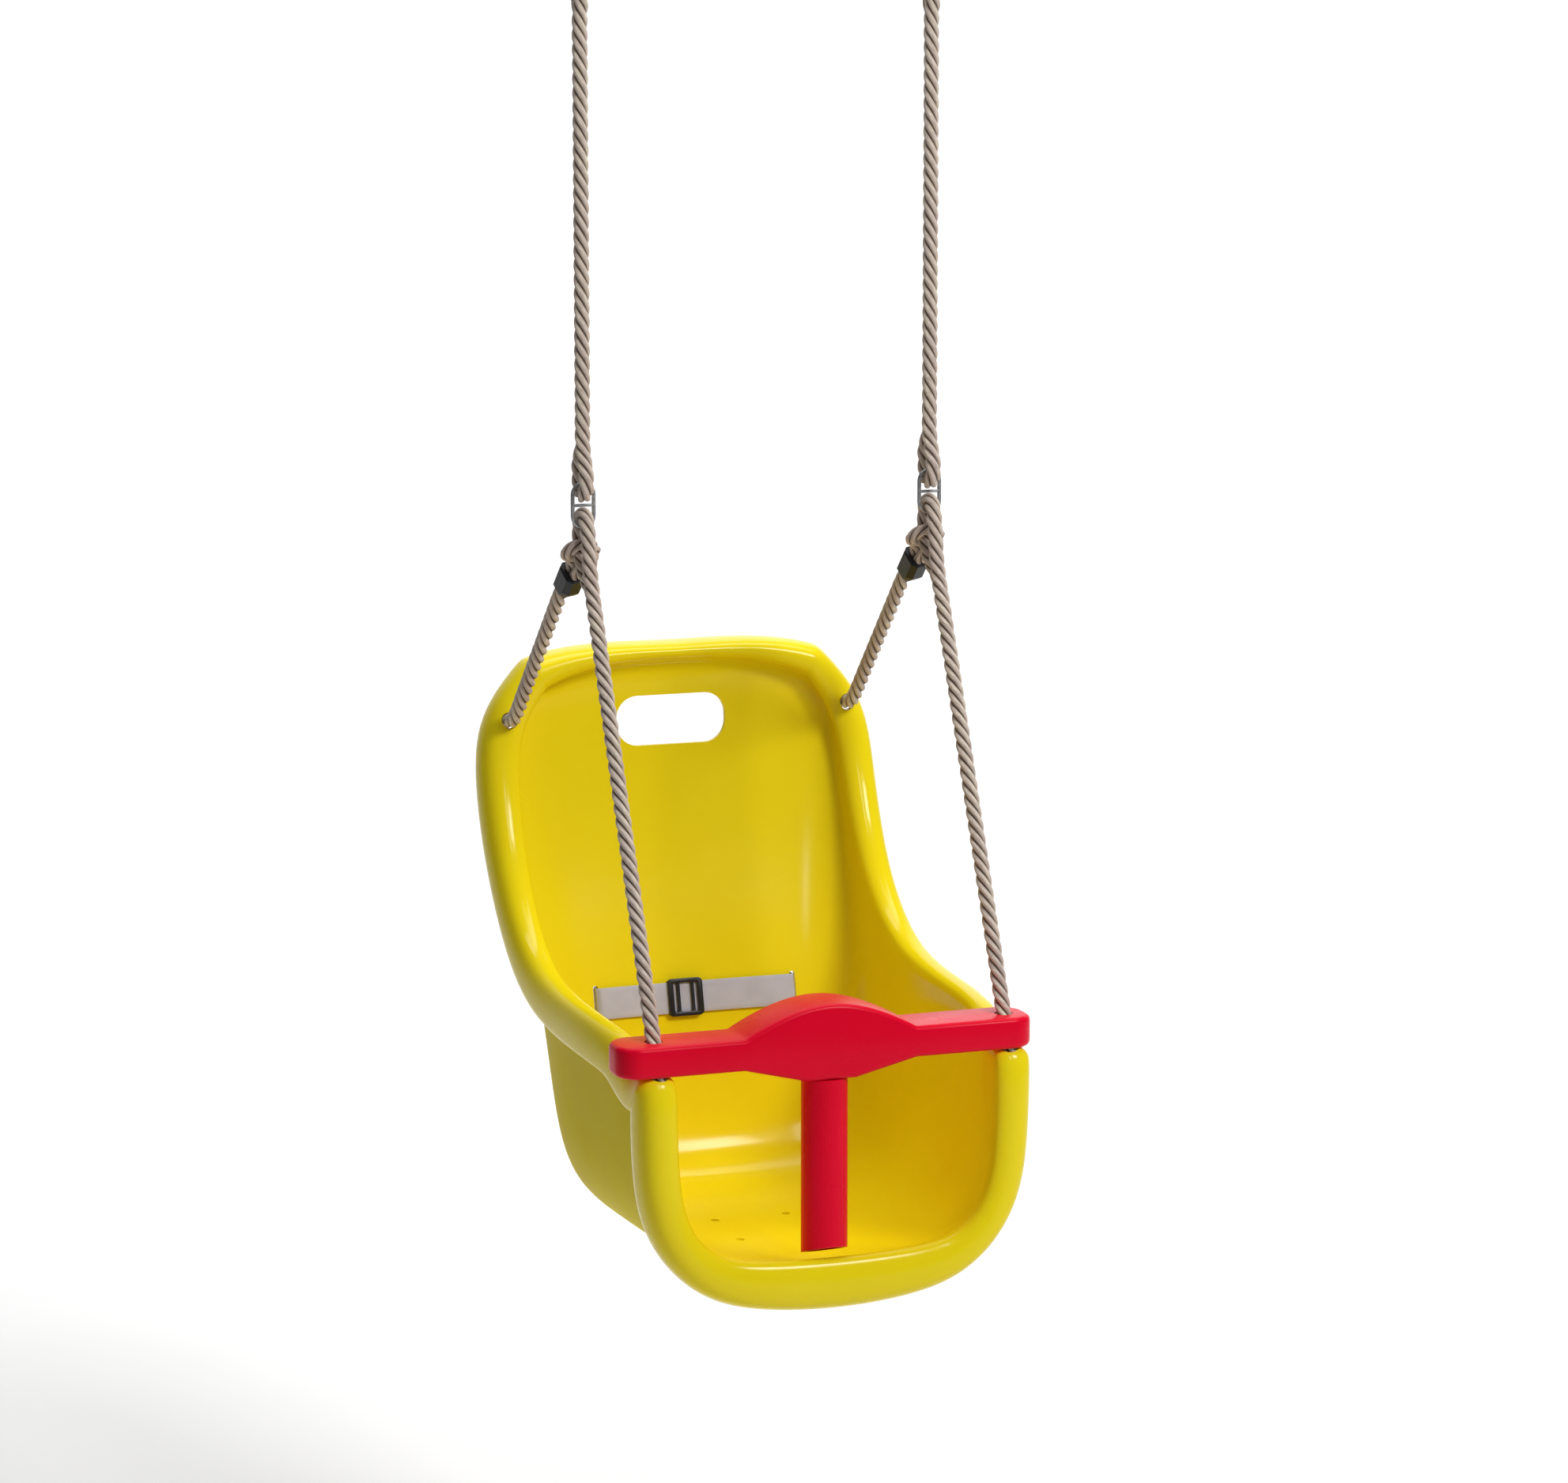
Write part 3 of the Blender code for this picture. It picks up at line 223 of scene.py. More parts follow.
def rope_material(name):
    """Twisted fibre rope: yarns along each strand, light crowns, painted shade darkening the grooves,
    dusty patches.
    """
    mat, tree, shader = new_material(name, roughness=0.85, specular=0.25)
    strand = attribute(tree, "strand_place").outputs["Vector"]
    fibres = noise(tree, strand, FIBRE_SCALE, 2.0, 0.6)
    yarns = noise(tree, strand, YARN_SCALE, 2.0, 0.5)
    patches = noise(tree, attribute(tree, "fibre_place").outputs["Vector"], DUST_SCALE, 3.0)
    # Painted shade: the colour darkens from each strand's crown into its groove.
    colour = ramp(tree, attribute(tree, "groove_shade").outputs["Fac"], GROOVE_SHADE_STOPS)
    colour = multiplied(tree, colour, ramp(tree, fibres, FIBRE_STOPS))
    colour = multiplied(tree, colour, ramp(tree, patches, DUST_STOPS))
    tree.links.new(colour, shader.inputs["Base Color"])
    tree.links.new(spread(tree, fibres, 0.65, 0.92), shader.inputs["Roughness"])
    twist = bump(tree, yarns, YARN_HEIGHT, 0.45)
    tree.links.new(bump(tree, fibres, FIBRE_HEIGHT, 0.55, twist), shader.inputs["Normal"])
    shader.inputs["Sheen Weight"].default_value = 0.15
    shader.inputs["Sheen Roughness"].default_value = 0.5
    return mat


ROPE = rope_material("laid_rope")


ZINC_SCALE = 420.0
ZINC_SHADE = 0.72
PIT_SCALE = 1500.0
PIT_HEIGHT = 0.0001


def steel_material(name, colour, low, high):
    """Zinc-coated steel: grey mottle, soft gloss."""
    mat, tree, shader = new_material(name, metallic=0.85)
    coords = object_coords(tree)
    cloud = noise(tree, coords, ZINC_SCALE, 4.0)
    dark = tuple(c * ZINC_SHADE for c in colour)
    tree.links.new(ramp(tree, cloud, [(0.35, dark), (0.65, colour)]), shader.inputs["Base Color"])
    tree.links.new(spread(tree, cloud, low, high), shader.inputs["Roughness"])
    pits = noise(tree, coords, PIT_SCALE, 2.0)
    tree.links.new(bump(tree, pits, PIT_HEIGHT, 0.3), shader.inputs["Normal"])
    return mat


STEEL = steel_material("galvanised", (0.50, 0.51, 0.52), 0.34, 0.5)


def mesh_piece(name, verts, faces, mat, body, slot):
    """Smooth-shaded object from vertices and faces, riding on a body."""
    mesh = bpy.data.meshes.new(name)
    mesh.from_pydata([tuple(v) for v in verts], [], faces)
    bm = bmesh.new()
    bm.from_mesh(mesh)
    bmesh.ops.recalc_face_normals(bm, faces=bm.faces[:])
    bm.to_mesh(mesh)
    bm.free()
    obj = linked(name, mesh)
    obj.data.materials.append(mat)
    for face in mesh.polygons:
        face.use_smooth = True
    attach(obj, body)
    return obj


# ---- ropes -------------------------------------
# Metres, Z up, origin half way between the two top rings. A "drop" is measured down from the
# height of the links, where the upper, front and rear ropes meet.
GAP = 0.0003
JUNCTION_Z = -0.465
SPREAD = 0.142
ROPE_R = 0.006
# Bend radius of the eyes in the link: upper rope, front rope.
ROPE_BEND_R = 0.0094
FRONT_BEND_R = 0.0096
RING_R = 0.021
RING_WIRE_R = 0.0040
THIMBLE_R = 0.0125
LINK_HALF_H = 0.0182
LINK_WIRE_R = 0.0016
LINK_BAR_RISE = LINK_HALF_H - LINK_WIRE_R
FRONT_X = 0.141
FRONT_Y = -0.161
LIP_HOLE_Y = -0.1725
REAR_X = 0.1455
REAR_DROP = 0.195
BAR_TOP_DROP = 0.3841
BAR_H = 0.0240
THIMBLE_BORE = 0.0095
THIMBLE_Z = RING_WIRE_R - 2 * RING_R + RING_WIRE_R + 2 * GAP - THIMBLE_BORE
# Length over which an eye's leg swings back to its rope's own line.
LINK_MERGE = 0.030
THIMBLE_MERGE = 0.055
FRONT_MERGE = 0.050
# The rear eye's middle, along and across the front rope from its pin.
REAR_REACH_A = 0.0160
REAR_REACH_B = 0.0157
REAR_EYE_R = 0.0044
TAIL_GAP = 2 * REAR_EYE_R + GAP
FERRULE_START = 0.0240
FERRULE_LEN = 0.0245
FERRULE_TWIST = math.radians(78)
FERRULE_BLIND = 0.0035
FERRULE_INSIDE = 0.010
SWELL_LEN = 0.016
TWIST_LEAD = 0.004
REAR_LOOP = 0.0119
LOOP_TRIM = 0.0005
REAR_BEND_Y = 0.1800
# Where the rope turns into the hole behind its elbow, and how far before it the turn starts.
ELBOW_IN = 0.010
ELBOW_OUT = 0.012
# The front rope's bend under the bar: how far short of the bar's underside it starts, how far
# on its corner lies, and how far below it ends.
BAR_SHORT = 0.001
BAR_BEND = 0.0015
RIM_BELOW_BAR = 0.0080
FRONT_END_DROP = 0.4172
REAR_END_Y = 0.2002
RUN_SPACING = 0.030
SWELL_SPACING = 0.004
EYE_STEPS = 10
MERGE_STEPS = 5
LEG_STEPS = 8
# Tail ends beside their ropes: distance from the eye's middle, distance off the rope's line.
UPPER_TAIL = [(0.004, 0.0083), (0.010, 0.0094), (0.018, 0.0098), (0.027, 0.0088), (0.034, 0.0070)]
THIMBLE_TAIL = [(0.004, 0.0187), (0.012, 0.0178), (0.022, 0.0150), (0.034, 0.0115),
                (0.045, 0.0088), (0.058, 0.0062)]
FRONT_TAIL = [(0.003, 0.0115), (0.006, 0.0145), (0.010, 0.0160), (0.015, 0.0158),
              (0.021, 0.0148), (0.027, 0.0140), (0.034, 0.0132), (0.042, 0.0112),
              (0.050, 0.0090), (0.058, 0.0066)]


def ease(share):
    """Smooth 0 to 1 step."""
    share = max(0.0, min(1.0, share))
    return share * share * (3 - 2 * share)


def eye_points(centre, away, crown, back, radius, merge, tail):
    """Rope line of an eye: tail end, round the pin, and down to where it joins its own line."""
    points = [centre + away * a + back * b for a, b in reversed(tail)]
    for i in range(EYE_STEPS + 1):
        angle = math.pi * i / EYE_STEPS
        points.append(centre + (back * math.cos(angle) + crown * math.sin(angle)) * radius)
    for i in range(1, MERGE_STEPS + 1):
        share = i / MERGE_STEPS
        points.append(centre + away * merge * share - back * radius * (1 - ease(share)))
    return points


def straight(start, end, spacing):
    """Points between two ends, leaving both out."""
    count = max(1, round((end - start).length / spacing))
    return [start.lerp(end, i / count) for i in range(1, count)]


def bend(start, corner, end, steps):
    """Curve from start to end that leaves and arrives along the corner's two legs."""
    points = []
    for i in range(steps + 1):
        t = i / steps
        points.append(start * (1 - t) ** 2 + corner * 2 * t * (1 - t) + end * t * t)
    return points


def upper_rope(side):
    """From the link up to the top ring's thimble."""
    top = Vector((side * SPREAD, 0, THIMBLE_Z))
    radius = THIMBLE_R + ROPE_R + GAP
    first = eye_points(top, -Z_AXIS, Z_AXIS, Y_AXIS, radius, THIMBLE_MERGE, THIMBLE_TAIL)
    pin = Vector((side * SPREAD, 0, JUNCTION_Z + LINK_BAR_RISE))
    second = eye_points(pin, Z_AXIS, -Z_AXIS, Y_AXIS, ROPE_BEND_R, LINK_MERGE, UPPER_TAIL)
    second.reverse()
    line = first + straight(first[-1], second[0], RUN_SPACING) + second
    line.reverse()
    return line


def front_frame(side):
    """Pin and bar hole of the front rope, and the run and back directions of its eye."""
    pin = Vector((side * SPREAD, 0, JUNCTION_Z - LINK_BAR_RISE))
    hole = Vector((side * FRONT_X, FRONT_Y, JUNCTION_Z - BAR_TOP_DROP))
    away = (hole - pin).normalized()
    return pin, hole, away, X_AXIS.cross(away).normalized()


def front_rope(side):
    """From the knot under the rim up to its eye at the link."""
    pin, hole, away, back = front_frame(side)
    points = eye_points(pin, away, -away, back, FRONT_BEND_R, FRONT_MERGE, FRONT_TAIL)
    out = hole + away * (BAR_H / away.z * -1 - BAR_SHORT)
    points += straight(points[-1], out, RUN_SPACING)
    lip = Vector((side * FRONT_X, LIP_HOLE_Y, out.z - RIM_BELOW_BAR))
    points += bend(out, out + away * BAR_BEND, lip, 3)
    points.append(Vector((side * FRONT_X, LIP_HOLE_Y, JUNCTION_Z - FRONT_END_DROP)))
    points.reverse()
    return points


def rear_frame(side):
    """Centre of the rear rope's eye, its elbow at the seat, run direction and the way across."""
    pin, _, away, back = front_frame(side)
    centre = pin + away * REAR_REACH_A + back * REAR_REACH_B
    elbow = Vector((side * REAR_X, REAR_BEND_Y, JUNCTION_Z - REAR_DROP))
    run = (elbow - centre).normalized()
    across = (X_AXIS - run * X_AXIS.dot(run)).normalized()
    return centre, elbow, run, across


def rear_leg(side, distance, leg):
    """Point on one leg of the rear eye; leg is 1 for the long leg and -1 for the tail."""
    centre, _, run, across = rear_frame(side)
    share = ease(distance / (FERRULE_START - TWIST_LEAD))
    twist = FERRULE_TWIST * share
    depth = across.cross(run)
    if depth.y < 0:
        depth = -depth
    half = REAR_LOOP - LOOP_TRIM + (TAIL_GAP / 2 - REAR_LOOP + LOOP_TRIM) * share
    offset = (across * -math.cos(twist) + depth * math.sin(twist)) * half * leg
    return centre + run * distance + offset


def rear_rope(side):
    """From the knot behind the seat back up to the eye, its tail end in the ferrule."""
    centre, elbow, run, across = rear_frame(side)
    tail_end = FERRULE_START + FERRULE_LEN - FERRULE_BLIND
    points = [rear_leg(side, tail_end, -1), rear_leg(side, FERRULE_START + FERRULE_INSIDE, -1)]
    points += [rear_leg(side, FERRULE_START * (1 - i / LEG_STEPS), -1) for i in range(LEG_STEPS)]
    for i in range(LEG_STEPS + 1):
        angle = math.pi * i / LEG_STEPS
        reach = REAR_LOOP - LOOP_TRIM
        tip = run * -REAR_LOOP * math.sin(angle)
        points.append(centre + across * reach * math.cos(angle) + tip)
    for i in range(1, LEG_STEPS + 1):
        points.append(rear_leg(side, FERRULE_START * i / LEG_STEPS, 1))
    points.append(rear_leg(side, FERRULE_START + FERRULE_LEN, 1))
    hole_in = Vector((side * REAR_X, REAR_BEND_Y + ELBOW_IN, elbow.z))
    before = elbow + (points[-1] - elbow).normalized() * ELBOW_OUT
    swollen = points[-1] + (before - points[-1]).normalized() * SWELL_LEN
    points += straight(points[-1], swollen, SWELL_SPACING)
    points.append(swollen)
    points += straight(swollen, before, RUN_SPACING)
    points += bend(before, elbow, hole_in, 5)
    points.append(Vector((side * REAR_X, REAR_END_Y, elbow.z)))
    points.reverse()
    return points


SMOOTH_PASSES = 10
SAME_POINT = 1e-6
# Any direction that no rope starts along.
START_SIDE = (0.31, 0.77, 0.55)


def smooth_line(points, step):
    """Even samples of a smooth curve through the points, as an array."""
    p = np.array([tuple(q) for q in points])
    keep = [0] + [i for i in range(1, len(p)) if np.linalg.norm(p[i] - p[i - 1]) > SAME_POINT]
    p = p[keep]
    t = np.concatenate([[0], np.cumsum(np.linalg.norm(np.diff(p, axis=0), axis=1))])
    m = np.empty_like(p)
    m[0] = (p[1] - p[0]) / (t[1] - t[0])
    m[-1] = (p[-1] - p[-2]) / (t[-1] - t[-2])
    left = (p[1:-1] - p[:-2]) / (t[1:-1] - t[:-2])[:, None]
    right = (p[2:] - p[1:-1]) / (t[2:] - t[1:-1])[:, None]
    share = ((t[2:] - t[1:-1]) / (t[2:] - t[:-2]))[:, None]
    m[1:-1] = left * share + right * (1 - share)
    count = max(2, int(round(t[-1] / step)) + 1)
    at = np.linspace(0, t[-1], count)
    i = np.clip(np.searchsorted(t, at, side="right") - 1, 0, len(t) - 2)
    h = t[i + 1] - t[i]
    u = (at - t[i]) / h
    u, h = u[:, None], h[:, None]
    a, b, c, d = 2 * u**3 - 3 * u**2 + 1, u**3 - 2 * u**2 + u, -2 * u**3 + 3 * u**2, u**3 - u**2
    line = a * p[i] + b * h * m[i] + c * p[i + 1] + d * h * m[i + 1]
    for _ in range(SMOOTH_PASSES):
        line[1:-1] = line[1:-1] * 0.5 + (line[:-2] + line[2:]) * 0.25
    return line


def carried_frames(line):
    """Tangents and two normals carried along a line without twisting."""
    tangent = np.gradient(line, axis=0)
    tangent /= np.linalg.norm(tangent, axis=1)[:, None]
    first = np.cross(tangent[0], START_SIDE)
    normal = np.empty_like(line)
    normal[0] = first / np.linalg.norm(first)
    for i in range(1, len(line)):
        n = normal[i - 1] - tangent[i] * np.dot(normal[i - 1], tangent[i])
        normal[i] = n / np.linalg.norm(n)
    return tangent, normal, np.cross(tangent, normal)


# One turn of the strands; their number, their middles and their size in a rope of radius 1.
LAY = 0.0430
STRANDS = 4
LOBE_AT = 0.56
LOBE_R = 0.45
RING_SIDES = 56
STEP = 0.0014
# How fast the painted shade deepens into a groove, how far the end caps bulge, and the painted shade
# at the caps.
GROOVE_SHADE_POWER = 2.0
CAP_BULGE = 0.3
CAP_GROOVE_SHADE = 0.6
# Patterns run slower along the rope than round it, so that they are drawn out.
DUST_STRETCH = 0.10
FIBRE_STRETCH = 0.06


def lobed_radius(angle):
    """Radius, for a rope of radius 1, of its outer strands pressed together."""
    half = math.pi / STRANDS
    turn = (angle + half) % (2 * half) - half
    inside = LOBE_R**2 - (LOBE_AT * np.sin(turn)) ** 2
    return LOBE_AT * np.cos(turn) + np.sqrt(inside)


def pattern_places(one, two, along):
    """A place for every point, from two values round the rope and one along it."""
    layers = [one, two, np.broadcast_to(along[:, None], one.shape)]
    return np.stack(layers, axis=-1).reshape(-1, 3)


def laid_rope(name, points, body, radius_of=None, lay=LAY, radius=ROPE_R, step=STEP):
    """Twisted rope along a line; returns the piece, its centre line and its length."""
    line = smooth_line(points, step)
    along = np.concatenate([[0], np.cumsum(np.linalg.norm(np.diff(line, axis=0), axis=1))])
    _, normal, side = carried_frames(line)
    angle = np.arange(RING_SIDES) / RING_SIDES * 2 * math.pi
    lobes = lobed_radius(angle)
    # Painted shade mask: 0 on a strand's crown, 1 deep in the groove.
    groove_shade_ring = np.clip((1 - lobes) / (1 - lobes.min()), 0, 1) ** GROOVE_SHADE_POWER
    size = np.full(len(line), radius)
    if radius_of is not None:
        size *= np.array([radius_of(s, along[-1]) for s in along])
    turn = -2 * math.pi * along / lay
    facing = angle[None, :] + turn[:, None]
    reach = lobes[None, :] * size[:, None]
    rim = np.cos(facing)[..., None] * normal[:, None, :]
    rim = rim + np.sin(facing)[..., None] * side[:, None, :]
    verts = line[:, None, :] + rim * reach[..., None]
    count = len(line)
    faces = []
    for i in range(count - 1):
        a, b = i * RING_SIDES, (i + 1) * RING_SIDES
        for k in range(RING_SIDES):
            m = (k + 1) % RING_SIDES
            faces.append((a + k, a + m, b + m, b + k))
    flat = verts.reshape(-1, 3).tolist()
    for ring, inside in ((0, 1), (count - 1, count - 2)):
        hub = len(flat)
        flat.append((line[ring] + (line[ring] - line[inside]) * CAP_BULGE).tolist())
        for k in range(RING_SIDES):
            m = (k + 1) % RING_SIDES
            faces.append((ring * RING_SIDES + k, ring * RING_SIDES + m, hub))
    obj = mesh_piece(name, flat, faces, ROPE, body, "rope_fibre")
    place = pattern_places(
        np.cos(facing) * reach, np.sin(facing) * reach, along * DUST_STRETCH
    )
    on_strand = pattern_places(
        np.broadcast_to(np.cos(angle) * radius, reach.shape),
        np.broadcast_to(np.sin(angle) * radius, reach.shape),
        along * FIBRE_STRETCH,
    )
    depth = np.append(np.broadcast_to(groove_shade_ring, reach.shape).reshape(-1), [CAP_GROOVE_SHADE] * 2)
    pad = np.zeros((2, 3))
    for label, values in (("fibre_place", place), ("strand_place", on_strand)):
        layer = obj.data.attributes.new(label, "FLOAT_VECTOR", "POINT")
        layer.data.foreach_set("vector", np.vstack([values, pad]).ravel().astype(np.float32))
    # Stored as the painted shade that the rope material darkens by.
    layer = obj.data.attributes.new("groove_shade", "FLOAT", "POINT")
    layer.data.foreach_set("value", depth.astype(np.float32))
    return obj, line.tolist(), float(along[-1])


# Rope size where a spliced end is tucked in, and in the rear eye, against the plain rope; then
# the lengths of the tapers at the ends.
SPLICE_SHARE = 0.45
EYE_SHARE = 0.80
UPPER_TAPER = 0.022
THIMBLE_TAPER = 0.035
FRONT_TAPER = 0.030


def tapered(start_len, end_len):
    """Rope size along its length, thinner where a spliced end is tucked in."""
    def size(s, total):
        scale = 1.0
        if start_len and s < start_len:
            scale = SPLICE_SHARE + (1 - SPLICE_SHARE) * ease(s / start_len)
        if end_len and total - s < end_len:
            scale = SPLICE_SHARE + (1 - SPLICE_SHARE) * ease((total - s) / end_len)
        return scale
    return size


def rear_straight(side):
    """Length of rear rope before it enters the ferrule."""
    centre, elbow, _, _ = rear_frame(side)
    return (elbow - centre).length - FERRULE_START - FERRULE_LEN + REAR_END_Y - REAR_BEND_Y


def drawn_tight(free):
    """Rope size along its length, thinner in the ferrule and the eye beyond it."""
    def size(s, _):
        return EYE_SHARE + (1 - EYE_SHARE) * ease((free - s) / SWELL_LEN)
    return size


for side, word in SIDES:
    piece, path, length = laid_rope(
        f"laid_upper_{word}", upper_rope(side), "upper_ropes", tapered(UPPER_TAPER, THIMBLE_TAPER)
    )
    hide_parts(f"upper_rope_{word}")
    piece, path, length = laid_rope(
        f"laid_front_{word}", front_rope(side), "seat", tapered(0, FRONT_TAPER)
    )
    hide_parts(f"front_rope_{word}")
    piece, path, length = laid_rope(
        f"laid_rear_{word}", rear_rope(side), "seat", drawn_tight(rear_straight(side))
    )
    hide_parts(f"rear_rope_{word}")

# ---- seat shell --------------------------------
WALL = 0.004
# Rope holes: round, in the back and in the front lip under the crossbar.
REAR_Y = 0.197
HOLE_R = 0.0068
HOLE_CUT = 0.06
LIP_HOLE_R = 0.0079
LIP_HOLE_SHIFT = 0.0008
LIP_HOLE_BELOW = 0.008
LIP_CUT = 0.030
HOLE_SIDES = 40
# Hand slot high in the back.
SLOT_HALF_W = 0.047
SLOT_HALF_H = 0.0205
SLOT_DROP = 0.2055
SLOT_Y = 0.22
SLOT_CUT = 0.08
SLOT_CORNER = 0.0180
# Two upright slits for the lap strap, and the strap.
STRAP_SLOT_X = 0.085
STRAP_SLOT_Y = 0.15
STRAP_SLOT_W = 0.0042
STRAP_SLOT_ROOM = 0.0015
STRAP_SLOT_CORNER = 0.0012
STRAP_W = 0.0245
STRAP_T = 0.0015
STRAP_Z = JUNCTION_Z - 0.426
# Notches in the rim that take the crossbar's arms.
NOTCH_IN = 0.095
NOTCH_OUT = 0.210
NOTCH_LENGTH = 0.110
NOTCH_RISE = 0.036
# Crossbar and the post below it.
BAR_HALF = 0.1665
BAR_DEPTH = 0.046
BAR_X = -0.0063
BAR_Y = -0.159
BAR_CORNER = 0.018
BULGE_HALF = 0.069
BULGE_UP = 0.0222
BULGE_DOWN = 0.012
BULGE_POWER = 0.95
POST_R = 0.0178
POST_ROOM = 0.002
# Four drain holes in the bottom.
DRAIN_R = 0.0035
DRAIN_SPREAD = 0.060
DRAIN_Y = 0.02
DRAIN_DROP = 0.580
DRAIN_SIDES = 24
# The shell row by row, from the top of the back, under the child, to the front lip. Each row:
# half width; y, drop of the lip's inner edge; y, drop of the shell's middle; squareness; lip width.
ROWS = [
    (0.1125, 0.1990, 0.1730, 0.2040, 0.154, 2.8, 0.0275),
    (0.1350, 0.1960, 0.206, 0.2150, 0.163, 4.0, 0.0345),
    (0.1390, 0.1860, 0.252, 0.2165, 0.205, 5.0, 0.032),
    (0.1400, 0.1650, 0.300, 0.2060, 0.262, 5.0, 0.030),
    (0.1410, 0.1360, 0.340, 0.1900, 0.320, 5.0, 0.028),
    (0.1420, 0.1000, 0.369, 0.1710, 0.375, 5.0, 0.027),
    (0.1425, 0.0600, 0.385, 0.1540, 0.430, 5.0, 0.026),
    (0.1425, 0.0150, 0.391, 0.1440, 0.490, 5.0, 0.025),
    (0.1420, -0.0250, 0.393, 0.1340, 0.547, 5.0, 0.025),
    (0.1410, -0.0550, 0.394, 0.1030, 0.577, 5.0, 0.025),
    (0.1390, -0.0850, 0.396, 0.0300, 0.580, 4.6, 0.025),
    (0.1360, -0.1100, 0.398, -0.0500, 0.580, 4.4, 0.026),
    (0.1320, -0.1360, 0.4140, -0.1200, 0.578, 4.4, 0.028),
    (0.1285, -0.1610, 0.4165, -0.1540, 0.568, 4.5, 0.031),
    (0.1270, -0.1770, 0.4095, -0.1770, 0.558, 4.6, 0.032),
]
# Columns of the control cage, as angles from the middle to the edge of a row.
ANGLES = [math.radians(a) for a in (0, 16, 32, 48, 63, 76, 87.5, 90)]
COLUMN_STEPS = len(ANGLES) - 1
TOP_LIP = 0.014
FRONT_LIP = 0.046
FRONT_LIP_GROWTH = 1.2
FRONT_CORNER_FACING = (0, -0.75, 0.66)
LIP_SKIRT = 0.024
SHELL_MIDDLE_Z = JUNCTION_Z - 0.38
# Rolled lip from the inner skin round to the outer one: share of the lip's width, height.
# Without a share the point is inside the skirt, a wall's thickness in from the edge.
LIP_PROFILE = [
    (0.10, 0.0065),
    (0.42, 0.0100),
    (0.80, 0.0075),
    (1.00, -0.0040),
    (1.00, -LIP_SKIRT),
    (None, -LIP_SKIRT),
    (None, 0.0005),
    (0.55, 0.0045),
]
LIP_ROOT_OUT = WALL * 1.4
LIP_ROOT_HEIGHT = 0.0022
SMOOTH_LEVELS = 3


def section(row, sign_step):
    """One point of a row; sign_step runs from -COLUMN_STEPS to COLUMN_STEPS."""
    half, rim_y, rim_drop, mid_y, mid_drop, power, _ = row
    angle = ANGLES[abs(sign_step)]
    across = math.sin(angle) ** (2 / power)
    rise = 1 - max(0.0, math.cos(angle)) ** (2 / power)
    if row is ROWS[0]:
        across = math.sin(angle)
        rise = across**3
    if abs(sign_step) == COLUMN_STEPS:
        across, rise = 1.0, 1.0
    x = math.copysign(half * across, sign_step) if sign_step else 0.0
    y = mid_y + (rim_y - mid_y) * rise
    drop = mid_drop + (rim_drop - mid_drop) * rise
    return Vector((x, y, JUNCTION_Z - drop))


def lip_ring(point, tangent, r, c):
    """Rolled lip at one place of the shell's edge, from the inner skin round to the outer."""
    last_row, last_column = len(ROWS) - 1, 2 * COLUMN_STEPS
    share = abs(point.x) / ROWS[r][0]
    if r == 0:
        width = TOP_LIP + (ROWS[0][6] - TOP_LIP) * share**2
        facing = Vector((0, -1, 0))
    elif r == last_row:
        grown = min(1.0, share * FRONT_LIP_GROWTH) ** 3
        width = FRONT_LIP + (ROWS[-1][6] - FRONT_LIP) * grown
        facing = Vector((0, -1, 0))
        if c in (0, last_column):
            facing = Vector(FRONT_CORNER_FACING)
    else:
        width = ROWS[r][6]
        facing = Vector((0, tangent.z, -tangent.y)) * (1 if c else -1)
    facing = (facing - tangent * facing.dot(tangent)).normalized()
    out = tangent.cross(facing).normalized()
    if out.dot(Vector((point.x, 0, point.z - SHELL_MIDDLE_Z))) < 0:
        out = -out
    ring = []
    for share_out, height in LIP_PROFILE:
        reach = width - WALL if share_out is None else width * share_out
        ring.append(point + out * reach + facing * height)
    ring.append(point + out * LIP_ROOT_OUT + facing * LIP_ROOT_HEIGHT)
    return ring


def shell_cage():
    """Closed control cage: inner skin, rolled lip, outer skin."""
    rows = len(ROWS)
    cols = 2 * COLUMN_STEPS + 1
    inner = [[section(row, c - COLUMN_STEPS) for c in range(cols)] for row in ROWS]

    def grid(r, c):
        return inner[max(0, min(rows - 1, r))][max(0, min(cols - 1, c))]

    def outward(r, c):
        along = grid(r + 1, c) - grid(r - 1, c)
        over = grid(r, c + 1) - grid(r, c - 1)
        return along.cross(over).normalized()

    verts = [p.copy() for line in inner for p in line]
    faces = []
    sign = -1.0 if outward(rows // 2, COLUMN_STEPS).y < 0 else 1.0
    outer_start = len(verts)
    for r in range(rows):
        for c in range(cols):
            verts.append(grid(r, c) + outward(r, c) * sign * WALL)
    for r in range(rows - 1):
        for c in range(cols - 1):
            a = r * cols + c
            quad = [a, a + 1, a + cols + 1, a + cols]
            faces.append(quad)
            faces.append([outer_start + i for i in reversed(quad)])
    edge = [(0, c) for c in range(cols)]
    edge += [(r, cols - 1) for r in range(1, rows)]
    edge += [(rows - 1, c) for c in range(cols - 2, -1, -1)]
    edge += [(r, 0) for r in range(rows - 2, 0, -1)]
    count = len(edge)
    ring_start = len(verts)
    for k, (r, c) in enumerate(edge):
        tangent = (grid(*edge[(k + 1) % count]) - grid(*edge[k - 1])).normalized()
        verts.extend(lip_ring(grid(r, c), tangent, r, c))
    steps = (len(verts) - ring_start) // count

    def band(k):
        r, c = edge[k]
        lip_start = ring_start + k * steps
        return [r * cols + c, *range(lip_start, lip_start + steps), outer_start + r * cols + c]

    for k in range(count):
        here, there = band(k), band((k + 1) % count)
        for i in range(len(here) - 1):
            faces.append([here[i], there[i], there[i + 1], here[i + 1]])
    return verts, faces


